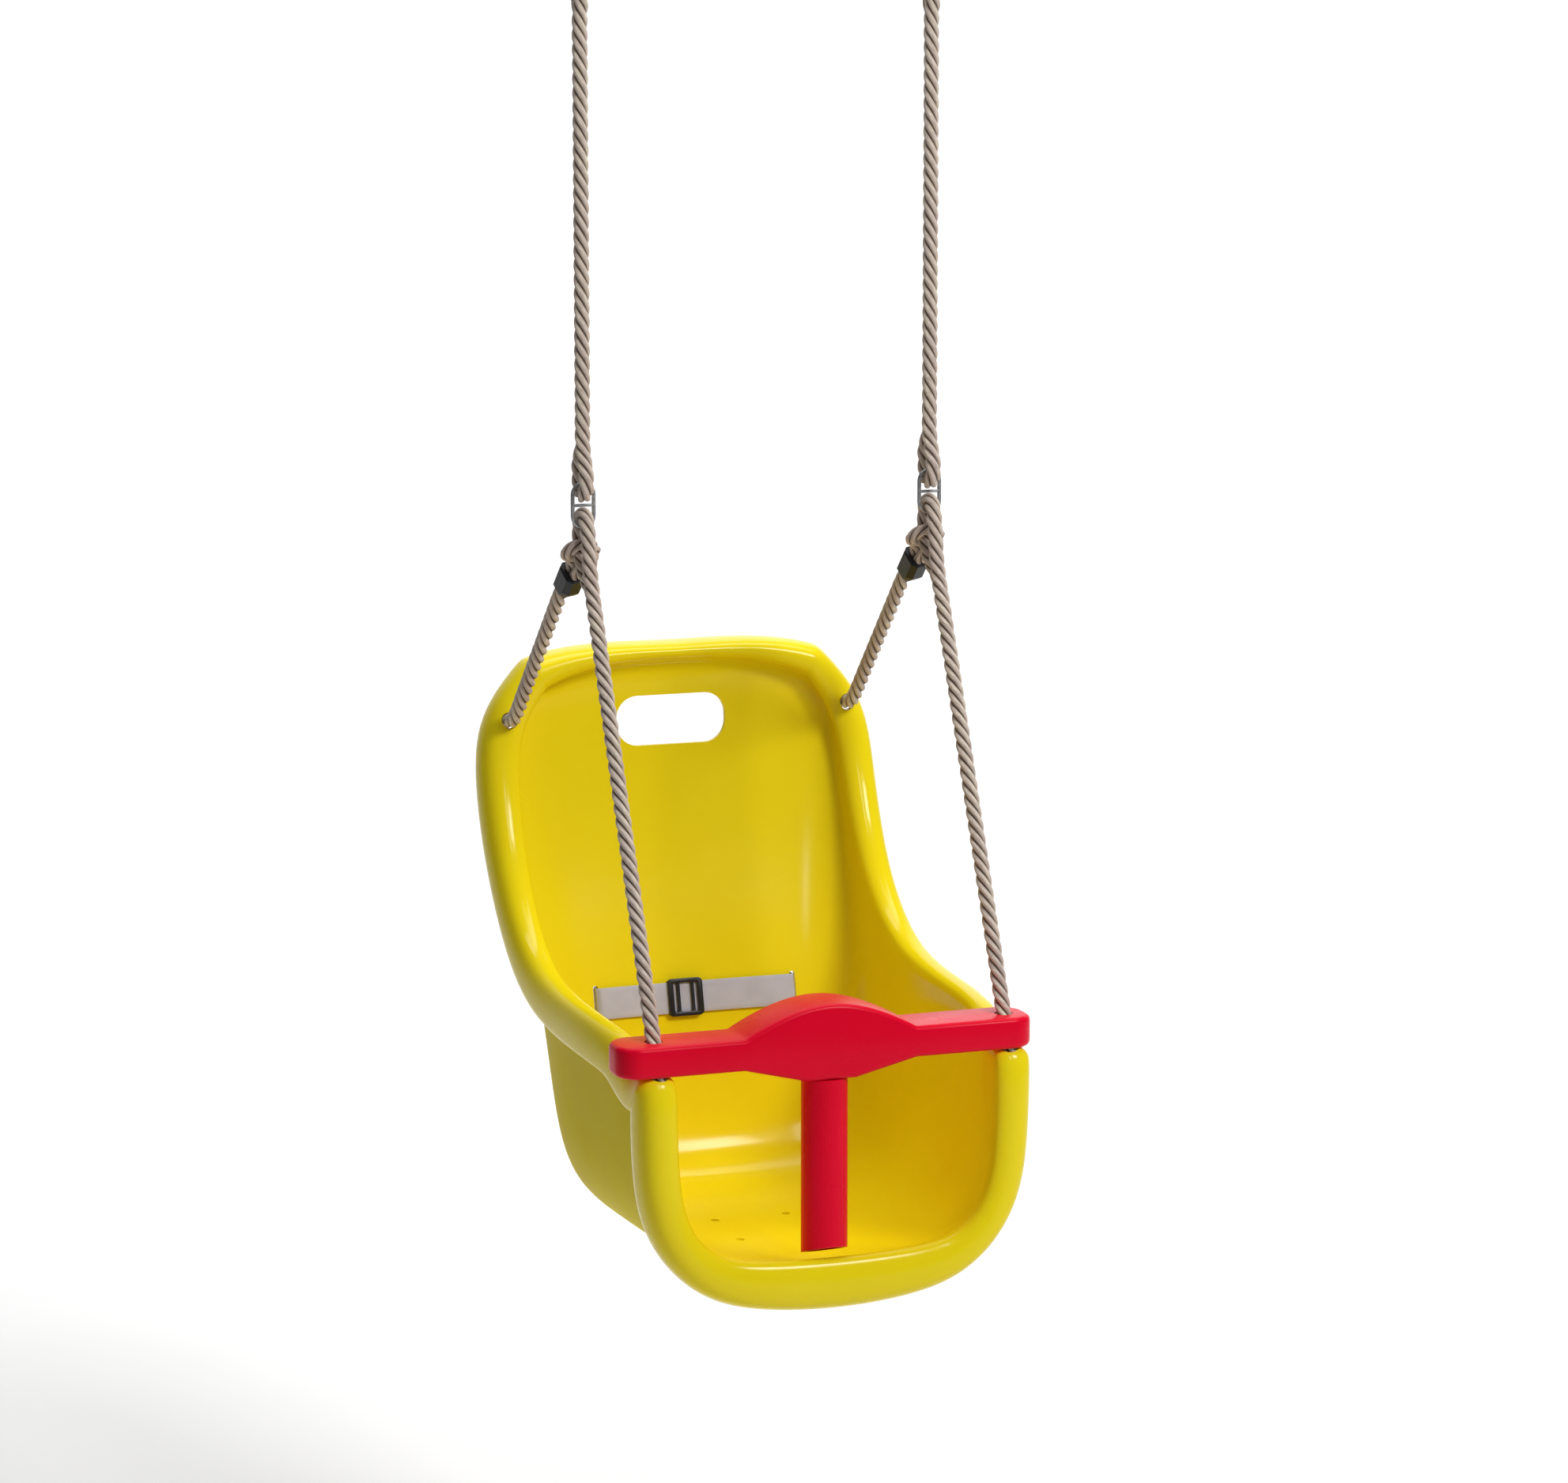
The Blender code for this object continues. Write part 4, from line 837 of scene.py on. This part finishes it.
def rounded_outline(half_a, half_b, corner, steps):
    """Rounded rectangle as points in its own plane, counter-clockwise."""
    points = []
    for quarter in range(4):
        turn = quarter * math.pi / 2
        sign_a = 1 if quarter in (0, 3) else -1
        sign_b = 1 if quarter in (0, 1) else -1
        for i in range(steps + 1):
            angle = turn + i / steps * math.pi / 2
            a = sign_a * (half_a - corner) + corner * math.cos(angle)
            b = sign_b * (half_b - corner) + corner * math.sin(angle)
            points.append((a, b))
    return points


def ring_outline(radius, count):
    """Circle as points."""
    steps = [2 * math.pi * i / count for i in range(count)]
    return [(radius * math.cos(t), radius * math.sin(t)) for t in steps]


def add_prism(bm, outline, origin, axis_a, axis_b, depth):
    """Add a closed prism to a bmesh, centred on origin and as deep as depth."""
    origin, axis_a, axis_b = Vector(origin), Vector(axis_a), Vector(axis_b)
    axis_c = axis_a.cross(axis_b)
    ends = []
    for side in (-0.5, 0.5):
        flat = [origin + axis_a * a + axis_b * b + axis_c * depth * side for a, b in outline]
        ends.append([bm.verts.new(p) for p in flat])
    near, far = ends
    count = len(outline)
    bm.faces.new(list(reversed(near)))
    bm.faces.new(far)
    for i in range(count):
        j = (i + 1) % count
        bm.faces.new((near[i], near[j], far[j], far[i]))


def baked(obj):
    """Apply the modifiers for good."""
    graph = bpy.context.evaluated_depsgraph_get()
    graph.update()
    made = bpy.data.meshes.new_from_object(obj.evaluated_get(graph))
    obj.modifiers.clear()
    obj.data = made


def crisp(obj, degrees=38.0):
    """Smooth shading with sharp edges where faces meet steeply."""
    bm = bmesh.new()
    bm.from_mesh(obj.data)
    limit = math.radians(degrees)
    for face in bm.faces:
        face.smooth = True
    for edge in bm.edges:
        edge.smooth = len(edge.link_faces) != 2 or edge.calc_face_angle() < limit
    bm.to_mesh(obj.data)
    bm.free()


def cut_by(obj, bm, name):
    """Cut a piece with the shapes in a bmesh."""
    bmesh.ops.recalc_face_normals(bm, faces=bm.faces[:])
    mesh = bpy.data.meshes.new(name)
    bm.to_mesh(mesh)
    bm.free()
    cutter = linked(name, mesh)
    mod = obj.modifiers.new(name, "BOOLEAN")
    mod.operation = "DIFFERENCE"
    mod.solver = "EXACT"
    mod.object = cutter
    baked(obj)
    bpy.data.objects.remove(cutter, do_unlink=True)


def as_lists(bm):
    """Vertices and faces of a bmesh, which is freed."""
    bm.verts.index_update()
    verts = [v.co.copy() for v in bm.verts]
    faces = [[v.index for v in f.verts] for f in bm.faces]
    bm.free()
    return verts, faces


def round_edges(obj, width, segments, degrees):
    """Round the edges where faces meet more steeply than an angle."""
    bevel = obj.modifiers.new("edges", "BEVEL")
    bevel.width = width
    bevel.segments = segments
    bevel.limit_method = "ANGLE"
    bevel.angle_limit = math.radians(degrees)
    baked(obj)


def seat_openings():
    """Shapes that cut the hand slot, strap slits, rope holes and drain holes."""
    bm = bmesh.new()
    hand_slot = rounded_outline(SLOT_HALF_W, SLOT_HALF_H, SLOT_CORNER, 12)
    add_prism(bm, hand_slot, (0, SLOT_Y, JUNCTION_Z - SLOT_DROP), X_AXIS, Z_AXIS, SLOT_CUT)
    slit = rounded_outline(
        STRAP_SLOT_W / 2, STRAP_W / 2 + STRAP_SLOT_ROOM, STRAP_SLOT_CORNER, 3
    )
    for side in (-1, 1):
        at = (side * STRAP_SLOT_X, STRAP_SLOT_Y, STRAP_Z)
        add_prism(bm, slit, at, X_AXIS, Z_AXIS, HOLE_CUT)
        at = (side * REAR_X, REAR_Y, JUNCTION_Z - REAR_DROP)
        add_prism(bm, ring_outline(HOLE_R, HOLE_SIDES), at, X_AXIS, Z_AXIS, HOLE_CUT)
        at = (side * FRONT_X, LIP_HOLE_Y + LIP_HOLE_SHIFT,
              JUNCTION_Z - BAR_TOP_DROP - BAR_H - LIP_HOLE_BELOW)
        add_prism(bm, ring_outline(LIP_HOLE_R, HOLE_SIDES), at, X_AXIS, Y_AXIS, LIP_CUT)
    for index in range(4):
        at = ((index % 2 - 0.5) * DRAIN_SPREAD, DRAIN_Y - (index // 2) * DRAIN_SPREAD,
              JUNCTION_Z - DRAIN_DROP)
        add_prism(bm, ring_outline(DRAIN_R, DRAIN_SIDES), at, X_AXIS, Y_AXIS, LIP_CUT)
    return bm


def bar_notches():
    """Shapes that clear the rim away where the crossbar's arms sit."""
    bm = bmesh.new()
    back_y = BAR_Y + BAR_DEPTH / 2 + 2 * GAP
    notch_z = JUNCTION_Z - BAR_TOP_DROP - BAR_H - GAP
    lean = NOTCH_RISE * FRONT_Y / (LINK_BAR_RISE - BAR_TOP_DROP)
    outline = [
        (back_y - NOTCH_LENGTH, notch_z),
        (back_y, notch_z),
        (back_y + lean, notch_z + NOTCH_RISE),
        (back_y - NOTCH_LENGTH, notch_z + NOTCH_RISE),
    ]
    for side in (-1, 1):
        ends = (side * NOTCH_IN, side * NOTCH_OUT)
        corners = [bm.verts.new((x, y, z)) for x in ends for y, z in outline]
        bm.faces.new(corners[:4])
        bm.faces.new(list(reversed(corners[4:])))
        for i in range(4):
            j = (i + 1) % 4
            bm.faces.new((corners[j], corners[i], corners[4 + i], corners[4 + j]))
    return bm


def make_seat():
    """Moulded shell with its openings; the outer skin has the satin finish in a darker yellow that is
    painted shade.
    """
    seat = mesh_piece("moulded_seat", *shell_cage(), YELLOW, "seat", "yellow_plastic")
    seat.data.materials.append(YELLOW_OUTSIDE_SHADED)
    # The outer skin's faces take the darker satin yellow: painted shade.
    skin_faces = 4 * (len(ROWS) - 1) * COLUMN_STEPS
    for index in range(1, skin_faces, 2):
        seat.data.polygons[index].material_index = 1
    smooth = seat.modifiers.new("smooth", "SUBSURF")
    smooth.levels = smooth.render_levels = SMOOTH_LEVELS
    baked(seat)
    cut_by(seat, seat_openings(), "seat_openings")
    cut_by(seat, bar_notches(), "bar_notches")
    crisp(seat)
    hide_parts("seat_shell")
    return seat


seat = make_seat()

# ---- T-bar -------------------------------------
bar_top = JUNCTION_Z - BAR_TOP_DROP
bar_bottom = bar_top - BAR_H
HUMP_STEPS = 36
CORNER_STEPS = 10
EDGE_ROUND = 0.0042
EDGE_STEPS = 5


def bar_outline():
    """Front outline of the crossbar: straight arms, domed middle, hips down to the post."""
    points = []
    for i in range(HUMP_STEPS + 1):
        x = BULGE_HALF * (1 - 2 * i / HUMP_STEPS)
        lift = max(0.0, math.cos(math.pi / 2 * x / BULGE_HALF)) ** BULGE_POWER
        points.append((x, bar_top + BULGE_UP * lift))
    points.append((-BAR_HALF, bar_top))
    points.append((-BAR_HALF, bar_bottom))
    points.append((-BULGE_HALF, bar_bottom))
    points.append((-POST_R - POST_ROOM, bar_bottom - BULGE_DOWN))
    points.append((POST_R + POST_ROOM, bar_bottom - BULGE_DOWN))
    points.append((BULGE_HALF, bar_bottom))
    points.append((BAR_HALF, bar_bottom))
    points.append((BAR_HALF, bar_top))
    return points


def make_crossbar():
    """Crossbar with rounded ends and edges and its two rope holes."""
    bm = bmesh.new()
    add_prism(bm, bar_outline(), (BAR_X, BAR_Y, 0), X_AXIS, Z_AXIS, BAR_DEPTH)
    bmesh.ops.recalc_face_normals(bm, faces=bm.faces[:])
    corners = []
    for edge in bm.edges:
        one, two = edge.verts
        upright = abs(one.co.z - two.co.z) > BAR_H / 2 and abs(one.co.y - two.co.y) < SAME_POINT
        if upright and abs(abs(one.co.x - BAR_X) - BAR_HALF) < SAME_POINT:
            corners.append(edge)
    bmesh.ops.bevel(
        bm, geom=corners, offset=BAR_CORNER, segments=CORNER_STEPS, affect="EDGES", profile=0.5
    )
    bar = mesh_piece("moulded_crossbar", *as_lists(bm), RED, "t_bar", "red_plastic")
    round_edges(bar, EDGE_ROUND, EDGE_STEPS, degrees=32)
    rope_dir = Vector((0, FRONT_Y, LINK_BAR_RISE - BAR_TOP_DROP)).normalized()
    bm = bmesh.new()
    for side in (-1, 1):
        hole_at = Vector((side * FRONT_X, FRONT_Y, bar_top)) + rope_dir * (BAR_H / 2)
        across_axis = rope_dir.cross(X_AXIS)
        add_prism(bm, ring_outline(HOLE_R, HOLE_SIDES), hole_at, X_AXIS, across_axis, HOLE_CUT)
    cut_by(bar, bm, "bar_rope_holes")
    crisp(bar, degrees=30.0)
    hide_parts("crossbar")


make_crossbar()

# ---- lap strap and its slide -------------------
# "Back" and "front" are the slide's plates, "rim" its frame above and below the strap.
BUCKLE_X = -0.0095
BUCKLE_LEN = 0.0290
BUCKLE_BACK = 0.0012
BUCKLE_FRONT = 0.0019
BUCKLE_RIM = 0.0022
BUCKLE_OFF = 0.0009
BUCKLE_CORNER = 0.0032
BUCKLE_BOW = 0.0019
BOW_INSET = 0.0004
BUCKLE_EDGE = 0.00045
CHANNEL_HALF = 0.02
CHANNEL_ROOM = 0.0004
STRAP_ROOM = 0.0006
WINDOW_X = 0.0088
WINDOW_HALF_W = 0.0048
WINDOW_MARGIN = 0.0012
WINDOW_SHIFT = 0.002
WINDOW_CUT = 0.0055
SLIT_HALF_W = 0.0014
SLIT_CORNER = SLIT_HALF_W * 0.9
# Weave: distance between ribs and between picks; noise scales of the fuzz and the soil.
RIB_PITCH = 0.00085
PICK_PITCH = 0.0011
FUZZ_SCALE = 700.0
SOIL_SCALE = 45.0
# Strap: steps across and along, thickness at its edge and next to it, the turn through a slit
# as (how far short of the slit, how far from the run it leaves or joins).
WEB_ACROSS = 12
WEB_ALONG = 24
SELVEDGE = (0.35, 1.08)
RUN_SHORT = 0.0035
TURN_NEAR = [(0.0008, 0.0006), (0.0, 0.0022)]
TURN_FAR = [(0.0, -0.0018), (0.0010, -0.0004)]
# Y that rays start from to find the skin of the seat's back: inside the bucket, behind the seat.
RAY_FRONT_Y = -0.02
RAY_BEHIND_Y = 0.5


def math_node(tree, operation, one, two=None):
    """Function of one value, or of a value and a second value or plain number."""
    made = tree.nodes.new("ShaderNodeMath")
    made.operation = operation
    tree.links.new(one, made.inputs[0])
    if isinstance(two, float):
        made.inputs[1].default_value = two
    elif two is not None:
        tree.links.new(two, made.inputs[1])
    return made.outputs[0]


def webbing_material():
    """Lilac-grey woven webbing: ribs along it, picks across it, painted shade where the weave dips,
    soft sheen.
    """
    mat, tree, shader = new_material("grey_webbing", roughness=0.75, specular=0.3)
    place = attribute(tree, "web_place").outputs["Vector"]
    parts = tree.nodes.new("ShaderNodeSeparateXYZ")
    tree.links.new(place, parts.inputs[0])
    waves = []
    for axis, pitch in (("X", PICK_PITCH), ("Y", RIB_PITCH)):
        turn = math_node(tree, "MULTIPLY", parts.outputs[axis], 2 * math.pi / pitch)
        waves.append(math_node(tree, "SINE", turn))
    weave = math_node(tree, "MULTIPLY", waves[0], waves[1])
    height = spread(tree, weave, 0.0, 1.0, -1.0, 1.0)
    fuzz = noise(tree, place, FUZZ_SCALE, 3.0)
    soil = noise(tree, place, SOIL_SCALE, 3.0)
    # Painted shade: the thread colour darkens where the weave dips.
    thread_shade = ramp(tree, height, [(0.15, (0.44, 0.44, 0.54)), (0.85, (0.66, 0.66, 0.78))])
    tone = ramp(tree, soil, [(0.30, (0.88, 0.88, 0.88)), (0.70, (1.0, 1.0, 1.0))])
    tree.links.new(multiplied(tree, thread_shade, tone), shader.inputs["Base Color"])
    threads = bump(tree, height, 0.0003, 0.6)
    tree.links.new(bump(tree, fuzz, 0.0002, 0.3, threads), shader.inputs["Normal"])
    shader.inputs["Sheen Weight"].default_value = 0.2
    return mat


WEBBING = webbing_material()
strap_skin = BVHTree.FromObject(seat, bpy.context.evaluated_depsgraph_get())


def skin_y(x, z, behind=False):
    """Y of the seat's front or back skin at a point of its back."""
    start = Vector((x, RAY_BEHIND_Y if behind else RAY_FRONT_Y, z))
    return strap_skin.ray_cast(start, Vector((0, -1 if behind else 1, 0)))[0].y


def strap_rails():
    """Closed centre line of the strap as (x, y at lower edge, y at upper edge)."""
    half_w = STRAP_W / 2
    stand_off = BUCKLE_OFF + GAP + BUCKLE_BACK + STRAP_T / 2
    reach = STRAP_SLOT_X
    runs = []
    for behind in (False, True):
        run = []
        for i in range(WEB_ALONG + 1):
            x = (reach - RUN_SHORT) * (2 * i / WEB_ALONG - 1)
            off = 2 * GAP + STRAP_T / 2 if behind else -stand_off
            run.append((x, skin_y(x, STRAP_Z - half_w, behind) + off,
                        skin_y(x, STRAP_Z + half_w, behind) + off))
        runs.append(run)
    front, back = runs
    back.reverse()
    line = list(front)
    for sign, near, far in ((1, front[-1], back[0]), (-1, front[0], back[-1])):
        corner = []
        for end, turns in ((near, TURN_NEAR), (far, TURN_FAR)):
            for short, shift in turns:
                corner.append((sign * (reach - short), end[1] + shift, end[2] + shift))
        if sign > 0:
            line += corner + back
        else:
            line += list(reversed(corner))
    return line


def make_strap():
    """Flat webbing loop through both slots, with rolled selvedges."""
    line = strap_rails()
    count = len(line)
    verts, places = [], []
    along = 0.0
    around = 2 * (WEB_ACROSS + 1)
    for i in range(count):
        x, low, high = line[i]
        before, after = line[i - 1], line[(i + 1) % count]
        run = Vector((after[0] - before[0], after[1] - before[1], 0)).normalized()
        side = Vector((-run.y, run.x, 0))
        if i:
            along += math.hypot(x - before[0], low - before[1])
        for sign in (1, -1):
            for step in range(WEB_ACROSS + 1):
                k = step if sign > 0 else WEB_ACROSS - step
                share = k / WEB_ACROSS
                edge = min(k, WEB_ACROSS - k)
                thick = STRAP_T / 2 * (SELVEDGE[edge] if edge < len(SELVEDGE) else 1.0)
                at = Vector((x, low + (high - low) * share, STRAP_Z + STRAP_W * (share - 0.5)))
                verts.append(at + side * sign * thick)
                places.append((along, STRAP_W * share, 0.0))
    faces = []
    for i in range(count):
        j = (i + 1) % count
        for k in range(around):
            m = (k + 1) % around
            faces.append((around * i + k, around * i + m, around * j + m, around * j + k))
    strap = mesh_piece("woven_lap_strap", verts, faces, WEBBING, "seat", "strap_webbing")
    layer = strap.data.attributes.new("web_place", "FLOAT_VECTOR", "POINT")
    layer.data.foreach_set("vector", np.array(places, dtype=np.float32).ravel())
    crisp(strap, degrees=50.0)
    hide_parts("lap_strap")


def make_buckle():
    """Slide adjuster: a sleeve with bowed sides, two slits and a window in its face."""
    low_y = skin_y(BUCKLE_X, STRAP_Z - STRAP_W / 2)
    high_y = skin_y(BUCKLE_X, STRAP_Z + STRAP_W / 2)
    lean = math.atan2(high_y - low_y, STRAP_W)
    up = Vector((0, math.sin(lean), math.cos(lean)))
    out = Vector((0, -math.cos(lean), math.sin(lean)))
    slump = (BUCKLE_OFF + GAP + BUCKLE_BACK + STRAP_T / 2) * math.sin(lean)
    base = Vector((BUCKLE_X, (low_y + high_y) / 2, STRAP_Z)) + out * BUCKLE_OFF - up * slump
    strap_half = STRAP_W / 2 / math.cos(lean) + STRAP_ROOM
    height = strap_half + BUCKLE_RIM
    hole_high = BUCKLE_BACK + STRAP_T + 2 * GAP + CHANNEL_ROOM
    face = hole_high + BUCKLE_FRONT
    outline = []
    for a, b in rounded_outline(BUCKLE_LEN / 2 - BOW_INSET, height, BUCKLE_CORNER, 8):
        bow = BUCKLE_BOW * max(0.0, 1 - (b / height) ** 2)
        outline.append((a + math.copysign(bow, a), b))
    bm = bmesh.new()
    add_prism(bm, outline, base + out * face / 2, X_AXIS, up, face)
    bmesh.ops.recalc_face_normals(bm, faces=bm.faces[:])
    slide = mesh_piece("slide_adjuster", *as_lists(bm), BLACK, "buckle", "black_plastic")
    bm = bmesh.new()
    channel = [(-CHANNEL_HALF, BUCKLE_BACK), (CHANNEL_HALF, BUCKLE_BACK),
               (CHANNEL_HALF, hole_high), (-CHANNEL_HALF, hole_high)]
    add_prism(bm, channel, base, X_AXIS, out, 2 * strap_half)
    cut_by(slide, bm, "strap_channel")
    bm = bmesh.new()
    window_h = strap_half - WINDOW_MARGIN
    for x, half_w in ((-WINDOW_X, SLIT_HALF_W), (0.0, WINDOW_HALF_W), (WINDOW_X, SLIT_HALF_W)):
        window = rounded_outline(half_w, window_h, SLIT_CORNER, 4)
        centre = base + X_AXIS * x + out * (hole_high + WINDOW_SHIFT)
        add_prism(bm, window, centre, X_AXIS, up, WINDOW_CUT)
    cut_by(slide, bm, "slide_windows")
    round_edges(slide, BUCKLE_EDGE, 2, degrees=40)
    crisp(slide)
    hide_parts("strap_buckle")


make_strap()
make_buckle()

# ---- stopper knots -----------------------------
KNOT_ROPE_R = 0.004536
KNOT_LAY = 0.026
KNOT_STEP = 0.0009
# The knot's line is most of one turn of a trefoil, kept this far inside its box.
KNOT_POINTS = 29
KNOT_START = 1.2
KNOT_TURN = 30.4
KNOT_INSET = 0.003
KNOT_INSET_ALONG = 0.0036


def knot_line(node, axis):
    """Line of an overhand knot drawn tight, inside the box of the CAD knot."""
    low, high = (Vector(v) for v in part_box(node))
    centre = (low + high) / 2
    half = (high - low) / 2
    points = []
    for i in range(KNOT_POINTS):
        t = 2 * math.pi * (i + KNOT_START) / KNOT_TURN
        u = (math.sin(t) + 2 * math.sin(2 * t)) / 3
        v = (math.cos(t) - 2 * math.cos(2 * t)) / 3
        w = -math.sin(3 * t)
        x = u * (half.x - KNOT_INSET)
        if axis == "Z":
            place = (x, v * (half.y - KNOT_INSET), w * (half.z - KNOT_INSET_ALONG))
        else:
            place = (x, w * (half.y - KNOT_INSET_ALONG), v * (half.z - KNOT_INSET))
        points.append(centre + Vector(place))
    return points


for side, word in SIDES:
    for place, axis in (("front", "Z"), ("rear", "Y")):
        node_name = f"{place}_knot_{word}"
        knot, _, _ = laid_rope(
            f"overhand_{node_name}", knot_line(node_name, axis), "seat",
            radius=KNOT_ROPE_R, lay=KNOT_LAY, step=KNOT_STEP,
        )
        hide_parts(node_name)

# ---- CAD nodes that keep their shape -----------
CARRIED = {
    "top_ring": STEEL,
    "thimble": STEEL,
    "link": STEEL,
    "post_screw": STEEL,
    "rear_ferrule": BLACK,
    "crotch_post": RED,
}
for name, obj in NODES.items():
    for prefix, mat in CARRIED.items():
        if name.startswith(prefix):
            obj.data.materials.clear()
            obj.data.materials.append(mat)

# ---- studio ------------------------------------
FLOOR_Z = -1.46
FLOOR_NEAR = -6.0
FLOOR_FAR = 2.2
SWEEP_R = 2.0
SWEEP_STEPS = 16
BACKDROP_H = 9.0
BACKDROP_HALF_W = 9.0


def studio():
    """Pale floor that curves up into a backdrop."""
    profile = [(FLOOR_NEAR, 0.0), (FLOOR_FAR, 0.0)]
    for i in range(1, SWEEP_STEPS + 1):
        angle = math.pi / 2 * i / SWEEP_STEPS
        profile.append((FLOOR_FAR + SWEEP_R * math.sin(angle), SWEEP_R * (1 - math.cos(angle))))
    profile.append((FLOOR_FAR + SWEEP_R, BACKDROP_H))
    forward = Vector((-BACK.x, -BACK.y, 0)).normalized()
    sideways = Vector((forward.y, -forward.x, 0))
    verts = []
    for y, z in profile:
        for x in (-BACKDROP_HALF_W, BACKDROP_HALF_W):
            verts.append(forward * y + sideways * x + Vector((0, 0, FLOOR_Z + z)))
    faces = [(2 * i, 2 * i + 1, 2 * i + 3, 2 * i + 2) for i in range(len(profile) - 1)]
    mesh = bpy.data.meshes.new("backdrop")
    mesh.from_pydata([tuple(v) for v in verts], [], faces)
    for face in mesh.polygons:
        face.use_smooth = True
    obj = linked("backdrop", mesh)
    mat, tree, shader = new_material("pale_paper", roughness=0.9, specular=0.1)
    coords = object_coords(tree)
    cloud = noise(tree, coords, 3.0)
    tint = ramp(tree, cloud, [(0.3, (0.93, 0.93, 0.93)), (0.7, (0.95, 0.95, 0.95))])
    tree.links.new(tint, shader.inputs["Base Color"])
    mesh.materials.append(mat)


studio()


def area_light(name, location, aim, size, power, size_y=None):
    """Soft white area light aimed at a point; square unless size_y is given."""
    data = bpy.data.lights.new(name, "AREA")
    data.energy = power
    data.shape = "RECTANGLE"
    data.size = size
    data.size_y = size_y or size
    placed(name, data, location, Vector(location) - Vector(aim))


CENTRE = (0, 0, -0.7)
area_light("key", (1.3, -2.4, 1.3), CENTRE, size=0.8, power=56)
area_light("top", (0.3, -0.2, 1.9), CENTRE, size=0.8, power=5)
area_light("streak", (0.2, -1.6, 0.55), (0, 0.1, -0.7), size=0.10, power=6.0, size_y=0.9)
area_light("backdrop_wash", (0.5, 1.0, 2.5), (1.4, 4.2, 0.0), size=3.0, power=160)

WORLD_STRENGTH = 0.12
world = bpy.data.worlds.new("studio")
bpy.context.scene.world = world
world.use_nodes = True
world.node_tree.nodes["Background"].inputs["Color"].default_value = (1, 1, 1, 1)
world.node_tree.nodes["Background"].inputs["Strength"].default_value = WORLD_STRENGTH
bpy.context.scene.view_settings.view_transform = "Standard"
